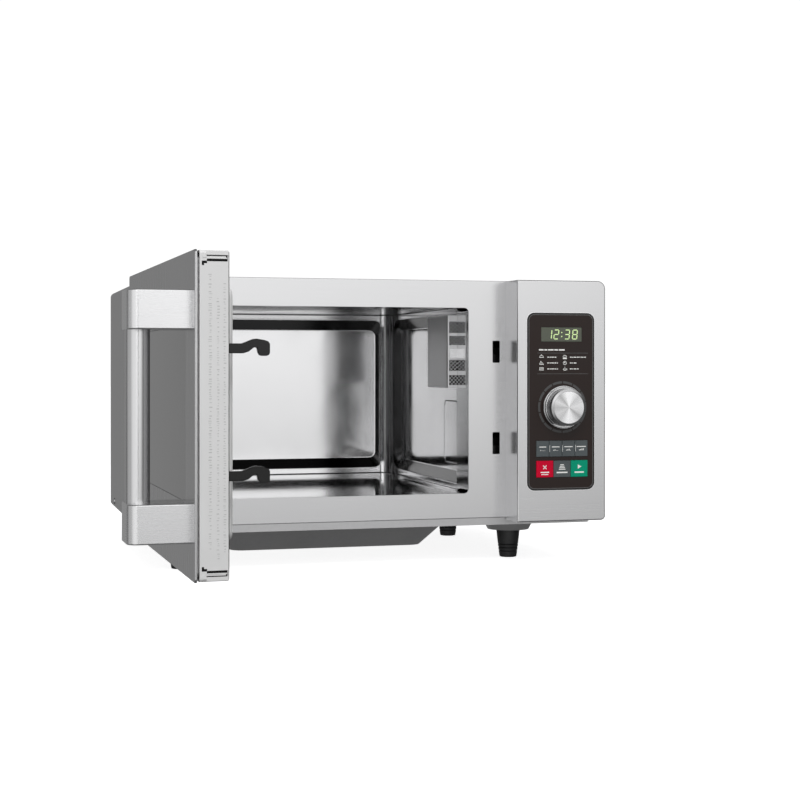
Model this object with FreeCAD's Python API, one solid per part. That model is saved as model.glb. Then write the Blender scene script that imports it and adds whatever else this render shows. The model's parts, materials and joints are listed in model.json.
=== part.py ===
import FreeCAD, Part
import math
import os

# Commercial flatbed microwave oven, in millimetres. +X is to the right of someone facing
# the oven, +Y runs to the back and +Z is up. The origin is on the standing surface, under
# the middle of the front frame's face. The door is stored open, turned back on its pins.

Vector = FreeCAD.Vector
AXIS_X = Vector(1, 0, 0)
AXIS_Y = Vector(0, 1, 0)
AXIS_Z = Vector(0, 0, 1)
ORIGIN = Vector(0, 0, 0)

# ---- body ----
front_width = 511.0          # the front frame, and the door plus its gap and the housing
frame_bottom = 52.0
frame_top = 317.5
frame_sheet = 1.2
frame_rim = 8.0              # depth of the rim folded back round the frame
frame_edge = 0.8             # rounding of the fold
casing_inset = 3.5           # the casing is this much narrower than the frame, each side
casing_below_frame = 1.5
casing_back = 384.0
casing_above_base = 1.4
casing_sheet = 0.8
casing_corner = 6.0
joint_gap = 0.2              # clearance between sheets that are screwed together
base_below_frame = 8.0
base_sheet = 1.0
base_lip = 14.0
rear_panel_recess = 0.8

# ---- cavity ----
mouth_left_margin = 43.5     # from the frame's left edge
mouth_right_margin = 44.0    # to the control housing
mouth_bottom_margin = 28.0
mouth_top_margin = 30.5
opening_corner = 5.0
neck_depth = 40.0            # narrower collar behind the front frame
neck_step = 5.7              # the cavity is this much wider than its mouth, each side
ceiling_step = 2.0           # and this much higher
cavity_from_back = 39.0
cavity_corner = 14.0
cavity_sheet = 0.8
panel_margin = 7.0           # flat border round the pressed panel of a wall
panel_slope = 13.0           # width of the pressed panel's sloping frame
panel_side_slope = 20.0
panel_depth = 5.5
panel_corner = 18.0
floor_thickness = 4.8
floor_clearance = 0.3
well_radius = 88.0
well_centre_y = 160.0
well_depth = 9.0

# ---- door, described closed ----
door_gap = 1.5               # between the door's free edge and the control housing
door_below_frame = 1.0
door_below_top = 2.0
door_thickness = 28.0        # skin face to the liner's inner face
choke_height = 9.0           # raised inner panel
seal_gap = 1.0               # between the raised panel and the front frame
skin_sheet = 1.0
skin_return = 2.0            # depth of the skin's folded edge
skin_edge = 0.8              # rounding of the fold
door_frame_sheet = 1.5
door_frame_inset = 4.0
skin_corner = 3.0
groove = 2.0                 # between the skin's edge and the liner
liner_inset = 0.6
liner_wall = 2.0
liner_edge = 1.0
window_free_margin = 44.0
window_hinge_margin = 60.0
window_bottom_margin = 61.0
window_top_margin = 60.5
window_corner = 10.0
window_fit = 0.3
glass_thickness = 4.0
glass_recess = 0.2
choke_inset = 33.0
choke_end_inset = 29.0
choke_corner = 8.0
choke_chamfer = 1.5
screen_sheet = 0.8
screen_lap = 10.0            # the screen sheet is this much larger than the window
open_angle = 88.7

# ---- door hinges ----
pin_from_edge = 6.0
pin_from_face = 19.7
pin_radius = 2.0
pin_clearance = 0.05
pin_reach = 12.0             # how far a pin goes into the door
bush_half_width = 6.0
hinge_plate = 2.0
hinge_gap = 0.5
hinge_leg = 24.0
hinge_width = 14.0
hinge_round = 6.5            # tongue's end round the pin

# ---- handle ----
bracket_height = 32.0
bracket_width = 44.0
bracket_projection = 51.0
bracket_from_edge = 14.0
bracket_upper_inset = 47.5   # middle of a bracket from the door's end
bracket_lower_inset = 46.0
bracket_corner = 9.0
bracket_edge = 1.2
bracket_wall = 3.0
tube_end_gap = 1.0           # between the tube's end and the bracket's far wall
tube_radius = 10.0
tube_from_face = 40.2
tube_from_edge = 36.0
tube_wall = 1.5
bracket_screw_radius = 2.0
bracket_screw_head = 4.0
bracket_screw_depth = 14.0
bracket_post_offset = 15.0
bracket_post_radius = 3.8

# ---- latch ----
hook_upper_inset = 78.5      # middle of a hook from the door's end
hook_lower_inset = 83.5
hook_arm = 8.0
hook_root = 3.5              # start of the hooks' shape, beyond the liner's inner face
hook_reach = 31.0            # from there to the hooks' tips
hook_thickness = 4.5
hook_rise = 8.0
hook_drop = 6.0
hook_room = 0.8              # between a hook and its hole in the liner
hook_from_edge = 10.0        # middle of the hooks from the door's free edge
latch_travel = 5.0
latch_slot_width = 8.6
latch_slot_height = 24.6
slot_offset = 1.1            # a latch slot's middle above its hook
slider_width = 10.0
slider_thickness = 6.0
slider_from_liner = 2.0
slider_end = 16.0            # bar beyond each hook's middle
guide_from_hook = 28.0
guide_half_height = 5.0
guide_room = 0.3
guide_wall = 2.0
spring_length = 22.0
spring_radius = 3.0
spring_wire = 0.5
spring_turns = 7
spring_stop = 3.0

# ---- control housing ----
housing_width = 104.5
housing_depth = 38.0
housing_below_frame = 2.0
housing_below_top = 0.5
housing_sheet = 1.0
housing_edge = 1.4           # rounding of the face's outline
housing_corner_top = 9.0
housing_corner_bottom = 5.0
overlay_from_left = 11.2     # from the housing's left side
overlay_width = 79.7
overlay_from_top = 36.0
overlay_height = 196.4
overlay_corner = 12.0
overlay_edge = 0.3
overlay_proud = 0.4
carrier_thickness = 3.0
carrier_lap = 4.0            # the carrier is this much larger than the overlay
post_radius = 3.0
post_inset = 5.0
board_from_carrier = 6.0
board_thickness = 1.6
display_from_left = 16.6     # these places are from the overlay's corner
display_width = 47.9
display_from_top = 16.1
display_height = 15.6
dial_from_left = 41.4
dial_from_bottom = 92.0
dial_radius = 20.3
dial_wall = 2.5
dial_skirt_rim = 3.5         # the skirt is this much wider than the dial
dial_skirt_thickness = 4.0
dial_skirt_gap = 0.6
dial_height = 20.0
dial_cap_thickness = 1.2
dial_shaft_radius = 3.0
shaft_clearance = 0.05
encoder_half_width = 7.0
encoder_bush_wall = 2.0
keys_from_left = 10.5
keys_width = 60.8
power_row_from_bottom = 37.2
power_row_height = 17.6
main_row_from_bottom = 14.4
main_row_height = 18.3
key_gap = 0.4
key_fit = 0.25
key_proud = 0.7
key_travel = 0.6
key_edge = 0.4
key_flange = 1.2             # the flange is this much taller than its cap
key_switch_half_width = 3.0

# ---- feet and the bulge below the base ----
foot_height = 32.6
foot_top_radius = 14.0
foot_bottom_radius = 10.0
foot_right_inset = 76.0      # from the casing's sides, front and back
foot_left_inset = 46.0
foot_front_y = 62.0
foot_back_inset = 91.0
foot_screw_radius = 2.0
foot_well_radius = 6.0
foot_roof = 5.0
foot_chamfer = 1.0
dimple_left_radius = 15.5
dimple_right_radius = 24.0
dimple_flare = 6.0           # a dimple's top is this much wider
bulge_left_reach = 124.0     # from the stirrer's axis
bulge_right_reach = 147.5
bulge_front_reach = 132.0
bulge_back_reach = 90.0
bulge_depth = 26.0
bulge_corner = 30.0
bulge_flange = 5.0

# ---- details of the cabinet ----
ledge = 5.0                  # cavity floor's border round the floor plate
floor_front = 9.0
liner_flange = 8.0
vent_count = 12
vent_from_back = 169.0
vent_pitch = 9.0
vent_width = 4.0
vent_above_base = 46.0
vent_height = 26.0
vent_row_pitch = 45.0
grille_rows = 15
grille_pitch = 7.0
grille_slot = 3.4
outlet_from_cavity = 27.7
outlet_count = 20
outlet_pitch = 9.0
outlet_below_top = 54.0
cord_from_side = 30.0
cord_above_base = 34.0
cord_hole_radius = 8.5
cord_bore_radius = 4.2
bushing_flange = 3.0
bushing_seat = 0.1
casing_screw_front = 40.0
casing_screw_from_back = 54.0
casing_screw_above_base = 8.0
screw_head_radius = 4.0
screw_head_height = 1.8
screw_radius = 1.7
screw_length = 8.0

# ---- details of the cavity ----
guard_width = 17.7           # how far the lamp's guard stands out from the right wall
guard_from_neck = 1.0
guard_length = 78.0
guard_below_ceiling = 9.0
guard_height = 83.0
guard_sheet = 0.8
guard_edge = 2.0
guard_window_height = 11.0
guard_window_width = 11.0
guard_window_rises = (4.0, 20.0, 49.0, 66.0)
guard_hole_radius = 0.95
guard_hole_pitch = 2.7
port_front = 70.0
port_length = 51.0
port_above_floor = 27.0
port_height = 74.0
port_sheet = 1.2
lamp_radius = 8.5
lamp_length = 15.0
lamp_neck_radius = 5.5

# ---- details of the machine compartment ----
fan_from_side = 69.0
fan_below_top = 84.0
fan_radius = 54.0
fan_hub_radius = 13.0
fan_hub_length = 14.0
fan_shaft_radius = 2.0
fan_blades = 5
fan_pitch = 28.0
shroud_depth = 30.0
shroud_sheet = 2.0
shroud_room = 3.0            # between the blades' tips and the shroud's ring
fan_cup_radius = 20.0
fan_cup_wall = 4.0
guide_width = 80.0
guide_above_base = 2.0
guide_sheet = 0.8
guide_past_magnetron = 30.0
coupling_radius = 14.0
feed_radius = 13.0
stirrer_motor_radius = 25.0
stirrer_motor_room = 6.0
antenna_radius = 74.0
antenna_sheet = 1.2
antenna_lift = 4.5           # antenna plate above the waveguide
antenna_hub_radius = 8.0
antenna_shaft_radius = 4.0
antenna_slot = (20.0, 6.0)
antenna_slot_places = ((-40, -20), (-14, -44), (20, -44), (30, -6), (-40, 10))
machine_from_side = 80.0     # magnetron and capacitor, from the casing's right side
magnetron_half = (45.0, 35.0)
magnetron_height = 72.0
magnetron_sheet = 2.0
magnetron_radius = 20.0
magnetron_stub_radius = 9.0
magnetron_filter_height = 25.0
magnetron_filter_half = 30.0
fin_count = 8
fin_pitch = 6.5
fin_sheet = 0.8
transformer_from_side = 64.0
transformer_from_back = 96.0
core_half = (50.0, 30.0)
core_height = 82.0
core_limb = 16.0             # half the middle limb, and the thickness of the others
core_window = 22.0
coil_half = (37.0, 48.0)
coil_corner = 10.0
coil_levels = ((15.0, 38.0), (42.0, 67.0))
capacitor_y = 76.0
capacitor_half = (17.0, 27.0)
capacitor_height = 86.0
terminal_height = 10.0
terminal_spread = 12.0
diode_size = (7.0, 20.0, 9.0)
diode_gap = 7.0
filter_from_side = 117.0
filter_from_back = 14.0
filter_size = (70.0, 90.0)
filter_lift = 8.0
choke_size = (24.0, 22.4, 24.0)
fuse_radius = 3.0
fuse_length = 32.0
duct_front = 128.0
duct_from_back = 58.0
duct_width = 50.0
duct_wall = 2.0
duct_gap = 4.0
duct_above_guard = 6.0
duct_height = 72.0
latch_board_gap = 3.0        # latch board's face from the hooks' slot
latch_board_sheet = 3.0
latch_board_foot = 14.0
latch_board_front = 2.4
latch_board_back = 62.0
latch_board_below = 26.5     # beyond the hooks' middles
latch_board_above = 31.0
catch_front = 10.0
catch_back = 13.5
catch_below = 1.8
catch_height = 22.2
switch_front_y = 28.0
switch_length = 19.0
switch_width = 10.9
switch_half_height = 6.0
switch_spacing = 18.0
relay_rows = ((17.8, 41.0, 34.0, 30.0, 20.0), (52.8, 56.0, 14.0, 18.0, 14.0),
              (52.8, 81.0, 14.0, 18.0, 14.0))   # from left, from top, width, height, depth

# ---- derived places: outside ----
frame_left = -front_width / 2
frame_right = front_width / 2
casing_left = frame_left + casing_inset
casing_right = frame_right - casing_inset
casing_top = frame_top - casing_below_frame
base_bottom = frame_bottom - base_below_frame
base_top = base_bottom + base_sheet
casing_bottom = base_bottom + casing_above_base
rear_panel_back = casing_back - rear_panel_recess
rear_panel_front = rear_panel_back - base_sheet
base_half_width = casing_right - casing_sheet - joint_gap
housing_left = frame_right - housing_width
housing_bottom = frame_bottom - housing_below_frame
housing_top = frame_top - housing_below_top
housing_face = -housing_depth
casing_screw_z = base_bottom + casing_screw_above_base
cord_x = casing_right - cord_from_side
cord_z = base_bottom + cord_above_base

# ---- derived places: cavity ----
opening_left = frame_left + mouth_left_margin
opening_right = housing_left - mouth_right_margin
opening_bottom = frame_bottom + mouth_bottom_margin
opening_top = frame_top - mouth_top_margin
cavity_left = opening_left - neck_step
cavity_right = opening_right + neck_step
cavity_ceiling = opening_top + ceiling_step
cavity_back = casing_back - cavity_from_back
floor_bottom = opening_bottom - floor_thickness
well_centre_x = (opening_left + opening_right) / 2
well_bottom = floor_bottom - cavity_sheet - well_depth - cavity_sheet
guide_top = well_bottom - joint_gap / 2
guide_bottom = base_bottom + guide_above_base
guard_face = cavity_right - guard_width
guard_front = neck_depth + guard_from_neck
guard_back = guard_front + guard_length
guard_top = cavity_ceiling - guard_below_ceiling
guard_bottom = guard_top - guard_height
port_bottom = opening_bottom + port_above_floor
compartment_left = cavity_right + panel_depth + cavity_sheet

# ---- derived places: feet and bulge ----
foot_left_x = casing_left + foot_left_inset
foot_right_x = casing_right - foot_right_inset
foot_back_y = casing_back - foot_back_inset
bulge_left = well_centre_x - bulge_left_reach
bulge_right = well_centre_x + bulge_right_reach
bulge_front = well_centre_y - bulge_front_reach
bulge_back = well_centre_y + bulge_back_reach
bulge_bottom = base_bottom - bulge_depth

# ---- derived places: door ----
door_left = frame_left
door_right = housing_left - door_gap
door_bottom = frame_bottom - door_below_frame
door_top = frame_top - door_below_top
liner_face = -(choke_height + seal_gap)
door_face = liner_face - door_thickness
pin_x = door_left + pin_from_edge
pin_y = door_face + pin_from_face
window_left = door_left + window_hinge_margin
window_right = door_right - window_free_margin
window_bottom = door_bottom + window_bottom_margin
window_top = door_top - window_top_margin
skin_back = door_face + skin_return
liner_front = skin_back + groove
glass_front = door_face + glass_recess
glass_back = glass_front + glass_thickness
door_frame_front = glass_back + joint_gap
door_frame_back = door_frame_front + door_frame_sheet
screen_back = liner_face - liner_wall - joint_gap
screen_front = screen_back - screen_sheet
bracket_right = door_right - bracket_from_edge
bracket_left = bracket_right - bracket_width
bracket_front = door_face - bracket_projection
bracket_upper_z = door_top - bracket_upper_inset
bracket_lower_z = door_bottom + bracket_lower_inset
tube_x = door_right - tube_from_edge
tube_y = door_face - tube_from_face
hook_x = door_right - hook_from_edge
hook_upper_z = door_top - hook_upper_inset
hook_lower_z = door_bottom + hook_lower_inset
slider_back = liner_face - liner_wall - slider_from_liner
slider_front = slider_back - slider_thickness
latch_board_left = hook_x + latch_slot_width / 2 + latch_board_gap

# ---- derived places: control panel ----
overlay_left = housing_left + overlay_from_left
overlay_right = overlay_left + overlay_width
overlay_top = housing_top - overlay_from_top
overlay_bottom = overlay_top - overlay_height
overlay_front = housing_face - overlay_proud
overlay_back = housing_face + housing_sheet
carrier_back = overlay_back + carrier_thickness
board_face = carrier_back + board_from_carrier
board_rear = board_face + board_thickness
display_left = overlay_left + display_from_left
display_right = display_left + display_width
display_top = overlay_top - display_from_top
display_bottom = display_top - display_height
keys_left = overlay_left + keys_from_left
keys_right = keys_left + keys_width
power_row_bottom = overlay_bottom + power_row_from_bottom
power_row_top = power_row_bottom + power_row_height
main_row_bottom = overlay_bottom + main_row_from_bottom
main_row_top = main_row_bottom + main_row_height
key_front = overlay_front - key_proud
key_flange_front = carrier_back + 0.1
key_flange_back = key_flange_front + 1.0
key_switch_front = key_flange_back + key_travel + 0.1
dial_x = overlay_left + dial_from_left
dial_z = overlay_bottom + dial_from_bottom
dial_skirt_radius = dial_radius + dial_skirt_rim
skirt_back = overlay_front - dial_skirt_gap
skirt_front = skirt_back - dial_skirt_thickness
dial_front = overlay_front - dial_height
dial_cap_back = dial_front + dial_cap_thickness

# ---- derived places: machine compartment ----
fan_x = casing_right - fan_from_side
fan_z = casing_top - fan_below_top
shroud_front = rear_panel_front - shroud_depth
magnetron_x = casing_right - machine_from_side
capacitor_x = casing_right - machine_from_side
transformer_x = casing_right - transformer_from_side
transformer_y = casing_back - transformer_from_back
filter_left = casing_right - filter_from_side
duct_back = casing_back - duct_from_back
duct_top = guard_top + duct_above_guard
duct_bottom = duct_top - duct_height


# ---- shape helpers ----

def block(x0, x1, y0, y1, z0, z1):
    """Box between two corners."""
    return Part.makeBox(x1 - x0, y1 - y0, z1 - z0, Vector(x0, y0, z0))


def edges_along(shape, axis):
    """Straight edges of a shape that run along an axis."""
    found = []
    for edge in shape.Edges:
        if isinstance(edge.Curve, Part.Line):
            if abs(edge.tangentAt(edge.FirstParameter).dot(axis)) > 0.999:
                found.append(edge)
    return found


def rounded(shape, axis, radius):
    """A box with its four edges along an axis rounded."""
    return shape.makeFillet(radius, edges_along(shape, axis))


def front_edges(shape):
    """Edges of a shape that lie in its front plane."""
    front = shape.BoundBox.YMin
    return [e for e in shape.Edges if e.BoundBox.YMax < front + 0.01]


def rod(radius, start, end):
    """Cylinder from one point to another."""
    along = end - start
    return Part.makeCylinder(radius, along.Length, start, along)


def pipe(outer, inner, start, end):
    """Round tube from one point to another."""
    return rod(outer, start, end).cut(rod(inner, start, end))


def end_outline(prism, direction):
    """Outline of the face that lies furthest along a direction."""
    return max(prism.Faces, key=lambda face: face.CenterOfMass.dot(direction)).OuterWire


def taper(base, tip, direction):
    """Solid that blends from the end outline of one prism to that of another."""
    outlines = [end_outline(base, direction), end_outline(tip, direction)]
    return Part.makeLoft(outlines, True, True)


def joined(shapes):
    """One clean solid from touching or overlapping shapes."""
    whole = shapes[0]
    for shape in shapes[1:]:
        whole = whole.fuse(shape)
    return whole.removeSplitter()


def without(shape, cutters):
    """A shape with several others taken out of it."""
    for cutter in cutters:
        shape = shape.cut(cutter)
    return shape


def export(name, shapes):
    """Write one node; a list of separate solids is a group."""
    if isinstance(shapes, list):
        shapes = Part.makeCompound(shapes)
    shapes.exportStep("parts/" + name + ".step")


# ---- cavity space, shared by everything that lines or fills it ----

def slab(axis, start, end, low, high):
    """Box between two places along an axis; low and high bound the other two axes."""
    start, end = sorted((start, end))
    if axis == AXIS_X:
        return block(start, end, low[0], high[0], low[1], high[1])
    if axis == AXIS_Y:
        return block(low[0], high[0], start, end, low[1], high[1])
    return block(low[0], high[0], low[1], high[1], start, end)


def wall_press(axis, outward, wall, low, high, slope, grow):
    """Space pressed out of a wall: a frame of slopes round a flat, deeper panel."""
    surface = wall + outward * grow
    outer_low = [value - grow for value in low]
    outer_high = [value + grow for value in high]
    inner_low = [value + step for value, step in zip(outer_low, slope)]
    inner_high = [value - step for value, step in zip(outer_high, slope)]
    base = slab(axis, surface - outward, surface, outer_low, outer_high)
    tip = slab(axis, surface - outward, surface + outward * panel_depth, inner_low, inner_high)
    return taper(rounded(base, axis, panel_corner), rounded(tip, axis, panel_corner / 2),
                 axis * outward)


def floor_seat(grow):
    """Shallow pocket that the floor plate drops into."""
    seat = block(opening_left + ledge - grow, opening_right - ledge + grow,
                 floor_front - grow, cavity_back - ledge + grow,
                 floor_bottom - grow, opening_bottom + 1)
    return rounded(seat, AXIS_Z, cavity_corner)


def cavity_space(grow):
    """The cavity's inside; grow offsets it to the outside of the sheet."""
    main = rounded(block(cavity_left - grow, cavity_right + grow,
                         neck_depth - grow, cavity_back + grow,
                         opening_bottom - grow, cavity_ceiling + grow),
                   AXIS_Z, cavity_corner + grow)
    neck = rounded(block(opening_left - grow, opening_right + grow,
                         frame_sheet, neck_depth + cavity_corner,
                         opening_bottom - grow, opening_top + grow),
                   AXIS_Y, opening_corner + grow)
    panel_z = (opening_bottom + panel_margin, cavity_ceiling - panel_margin)
    side_low = (neck_depth + panel_margin, panel_z[0])
    side_high = (cavity_back - cavity_corner, panel_z[1])
    side_slope = (panel_side_slope, panel_slope)
    right = wall_press(AXIS_X, 1, cavity_right, side_low, side_high, side_slope, grow)
    left = wall_press(AXIS_X, -1, cavity_left, side_low, side_high, side_slope, grow)
    back = wall_press(AXIS_Y, 1, cavity_back, (cavity_left + panel_margin, panel_z[0]),
                      (cavity_right - panel_margin, panel_z[1]),
                      (panel_slope, panel_slope), grow)
    return joined([main, neck, right, left, back, floor_seat(grow)])


# ---- cabinet ----

def make_front_frame():
    """Face plate with the cavity mouth, two latch slots and a rim folded back."""
    plate = block(frame_left, frame_right, 0, frame_rim, frame_bottom, frame_top)
    plate = plate.makeFillet(frame_edge, front_edges(plate))
    hollow = block(frame_left + frame_sheet, frame_right - frame_sheet, frame_sheet,
                   frame_rim + 1, frame_bottom - 1, frame_top - frame_sheet)
    mouth = rounded(block(opening_left, opening_right, -1, frame_rim,
                          opening_bottom, opening_top), AXIS_Y, opening_corner)
    slots = [latch_slot(hook_upper_z), latch_slot(hook_lower_z)]
    wiring = block(overlay_left, overlay_right, -1, frame_rim, overlay_bottom, overlay_top)
    return frame_parts(without(plate, [hollow, mouth, wiring] + slots))


def frame_parts(shell):
    """The frame, parted beside the mouth's corners so that each part is nearly convex."""
    columns = (frame_left, opening_left + opening_corner, opening_right - opening_corner,
               frame_right)
    rows = (frame_bottom, opening_bottom + opening_corner, opening_top - opening_corner,
            frame_top)
    parts = []
    for left, right in zip(columns, columns[1:]):
        for low, high in zip(rows, rows[1:]):
            parts += shell.common(block(left, right, 0, frame_rim, low, high)).Solids
    return parts


def latch_slot(hook_z):
    """Cutter for the slot that a hook enters."""
    middle = hook_z + slot_offset
    slot = block(hook_x - latch_slot_width / 2, hook_x + latch_slot_width / 2,
                 -1, frame_rim, middle - latch_slot_height / 2, middle + latch_slot_height / 2)
    return rounded(slot, AXIS_Y, 1.0)


def make_casing():
    """Wrap of sheet over the top and down both sides, with vents near the back."""
    front = frame_sheet + joint_gap
    outer = block(casing_left, casing_right, front, casing_back, casing_bottom, casing_top)
    outer = rounded_top(outer, casing_corner)
    inner = block(casing_left + casing_sheet, casing_right - casing_sheet, front - 1,
                  casing_back + 1, casing_bottom - 1, casing_top - casing_sheet)
    inner = rounded_top(inner, casing_corner - casing_sheet)
    vents = []
    for row in range(2):
        for i in range(vent_count):
            y = casing_back - vent_from_back + i * vent_pitch
            z = base_bottom + vent_above_base + row * vent_row_pitch
            vents.append(block(casing_right - 3, casing_right + 1, y, y + vent_width,
                               z, z + vent_height))
    return without(outer, [inner] + vents)


def rounded_top(shape, radius):
    """A box running along Y with its two upper long edges rounded."""
    top = shape.BoundBox.ZMax
    edges = [e for e in edges_along(shape, AXIS_Y) if e.CenterOfMass.z > top - 0.01]
    return shape.makeFillet(radius, edges)


def foot_places():
    """X and Y of each foot."""
    return [(x, y) for y in (foot_front_y, foot_back_y) for x in (foot_left_x, foot_right_x)]


def make_base():
    """Tray with upright lips, a dimple over each foot and an opening over the bulge."""
    lip_front = frame_sheet + joint_gap
    lip_back = rear_panel_front - joint_gap
    tray = block(-base_half_width, base_half_width, lip_front, lip_back,
                 base_bottom, base_bottom + base_lip)
    hollow = block(-base_half_width + base_sheet, base_half_width - base_sheet,
                   lip_front + base_sheet, lip_back - base_sheet,
                   base_top, base_bottom + base_lip + 1)
    base = tray.cut(hollow)
    bulge_hole = rounded(block(bulge_left + bulge_flange, bulge_right - bulge_flange,
                               bulge_front + bulge_flange, bulge_back - bulge_flange,
                               base_bottom - 1, base_top + 1),
                         AXIS_Z, bulge_corner - bulge_flange)
    base = base.cut(bulge_hole)
    drop = base_bottom - foot_height
    for x, y in foot_places():
        narrow = dimple_left_radius if x < 0 else dimple_right_radius
        outer = Part.makeCone(narrow, narrow + dimple_flare, drop, Vector(x, y, foot_height))
        inner = Part.makeCone(narrow - base_sheet, narrow - base_sheet + dimple_flare, drop,
                              Vector(x, y, foot_height + base_sheet))
        hole = rod(foot_screw_radius + joint_gap, Vector(x, y, foot_height - 1),
                   Vector(x, y, foot_height + foot_roof))
        base = without(joined([base, outer]), [inner, hole])
    return base


def bulge_outline(grow, z, corner):
    """Thin rounded plate of the bulge's outline, grown all round, with its top at a height."""
    plate = block(bulge_left - grow, bulge_right + grow, bulge_front - grow,
                  bulge_back + grow, z - 1, z)
    return rounded(plate, AXIS_Z, corner)


def bulge_loft(inset):
    """Solid that narrows from the base to the bulge's flat bottom."""
    top = end_outline(bulge_outline(-inset, base_bottom, bulge_corner - inset), AXIS_Z)
    low = bulge_outline(-inset - bulge_depth, bulge_bottom + inset, bulge_corner / 2)
    return Part.makeLoft([top, end_outline(low, AXIS_Z)], True, True)


def make_bulge():
    """Pressed cover below the base, round the stirrer motor."""
    flange = bulge_outline(bulge_flange, base_bottom, bulge_corner + bulge_flange)
    return joined([bulge_loft(0), flange]).cut(bulge_loft(base_sheet))


def make_foot(x, y):
    """Tapered foot, hollow below for its screw."""
    body = Part.makeCone(foot_bottom_radius, foot_top_radius, foot_height, Vector(x, y, 0))
    well = rod(foot_well_radius, Vector(x, y, -1), Vector(x, y, foot_height - foot_roof))
    hole = rod(foot_screw_radius + joint_gap, Vector(x, y, 0), Vector(x, y, foot_height + 1))
    foot = without(body, [well, hole])
    rim = [e for e in foot.Edges if e.BoundBox.ZMax < 0.01]
    return foot.makeChamfer(foot_chamfer, [max(rim, key=lambda e: e.Length)])


def make_foot_screws():
    """One pan-head screw up through each foot."""
    head_top = foot_height - foot_roof
    length = foot_roof + base_sheet + foot_screw_radius * 2
    return [pan_screw(Vector(x, y, head_top), AXIS_Z * -1, foot_screw_radius * 2,
                      screw_head_height, foot_screw_radius, length) for x, y in foot_places()]


def make_rear_panel():
    """Back sheet with a vent field behind the fan and the cord's hole."""
    panel = block(-base_half_width, base_half_width, rear_panel_front, rear_panel_back,
                  casing_bottom, casing_top - casing_sheet - joint_gap)
    corners = [e for e in edges_along(panel, AXIS_Y) if e.CenterOfMass.z > casing_top - 20]
    panel = panel.makeFillet(casing_corner, corners)
    vents = []
    for i in range(grille_rows):
        z = fan_z + (i - (grille_rows - 1) / 2) * grille_pitch
        half = math.sqrt(max(fan_radius ** 2 - (z - fan_z) ** 2, 0)) - 3
        for side in (-1, 1):
            centre = fan_x + side * (half / 2 + 1.5)
            vents.append(block(centre - half / 2, centre + half / 2, rear_panel_front - 1,
                               rear_panel_back + 1, z - grille_slot / 2, z + grille_slot / 2))
    cord_hole = rod(cord_hole_radius, Vector(cord_x, rear_panel_front - 1, cord_z),
                    Vector(cord_x, rear_panel_back + 1, cord_z))
    outlet_vents = []
    for i in range(outlet_count):
        x = cavity_left + outlet_from_cavity + i * outlet_pitch
        outlet_vents.append(block(x, x + vent_width, rear_panel_front - 1, rear_panel_back + 1,
                                  casing_top - outlet_below_top,
                                  casing_top - outlet_below_top + vent_height))
    return without(panel, vents + outlet_vents + [cord_hole])


def make_cord_bushing():
    """Grommet that the mains cord leaves by: two flanges and a neck in the panel's hole."""
    def ring(radius, y0, y1):
        return rod(radius, Vector(cord_x, y0, cord_z), Vector(cord_x, y1, cord_z))
    seat_front = rear_panel_front - bushing_seat
    seat_back = rear_panel_back + bushing_seat
    neck = ring(cord_hole_radius - bushing_seat, seat_front, seat_back)
    inner = ring(cord_hole_radius + bushing_flange, seat_front - bushing_flange, seat_front)
    outer = ring(cord_hole_radius + bushing_flange, seat_back, seat_back + bushing_flange / 2)
    bore = ring(cord_bore_radius, seat_front - bushing_flange - 1, seat_back + bushing_flange)
    return joined([neck, inner, outer]).cut(bore)


def pan_screw(seat, outward, head_radius, head_height, radius, length):
    """Screw with its head on one side of the seat and its shank on the other."""
    head = rod(head_radius, seat, seat + outward * head_height)
    shank = rod(radius, seat, seat - outward * length)
    return joined([head, shank])


def make_casing_screws():
    """Pan-head screws: two in each side's lower edge and six in the back."""
    places = []
    for y in (casing_screw_front, casing_back - casing_screw_from_back):
        for side in (-1, 1):
            places.append((Vector(side * casing_right, y, casing_screw_z), AXIS_X * side))
    for x in (-base_half_width + 15, 0, base_half_width - 15):
        for z in (casing_bottom + 20, casing_top - 15):
            places.append((Vector(x, rear_panel_back, z), AXIS_Y))
    return [pan_screw(seat, outward, screw_head_radius, screw_head_height, screw_radius,
                      screw_length) for seat, outward in places]


# ---- cavity pieces ----

def liner_panels(shell):
    """The liner's welded panels, parted where its walls meet."""
    far = front_width + casing_back
    collar_back = neck_depth + cavity_corner + 1
    bend_left = cavity_left + cavity_corner
    bend_right = cavity_right - cavity_corner
    bend_back = cavity_back - cavity_corner
    zones = [block(-far, opening_left, 0, collar_back, 0, far),
             block(opening_right, far, 0, collar_back, 0, far),
             block(opening_left, opening_right, 0, collar_back, opening_top, far),
             block(opening_left, opening_right, 0, collar_back, 0, opening_bottom),
             block(-far, far, collar_back, far, cavity_ceiling, far),
             block(-far, far, collar_back, far, 0, opening_bottom)]
    for x0, x1, y0, y1 in ((-far, bend_left, collar_back, bend_back),
                           (bend_right, far, collar_back, bend_back),
                           (-far, bend_left, bend_back, far),
                           (bend_left, bend_right, bend_back, far),
                           (bend_right, far, bend_back, far)):
        zones.append(block(x0, x1, y0, y1, opening_bottom, cavity_ceiling))
    panels = []
    for zone in zones:
        panels += shell.common(zone).Solids
    return panels


def make_liner():
    """Pressed stainless liner with a welded flange behind the front frame."""
    flange = block(opening_left - liner_flange, opening_right + liner_flange, frame_sheet,
                   frame_sheet + cavity_sheet, opening_bottom - liner_flange,
                   opening_top + liner_flange)
    shell = joined([cavity_space(cavity_sheet), flange])
    space = cavity_space(0)
    mouth = rounded(block(opening_left, opening_right, frame_sheet - 1, neck_depth,
                          opening_bottom, opening_top), AXIS_Y, opening_corner)
    well = rod(well_radius, Vector(well_centre_x, well_centre_y, floor_bottom - 5),
               Vector(well_centre_x, well_centre_y, floor_bottom + 1))
    return liner_panels(without(shell, [space, mouth, well]))


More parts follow.
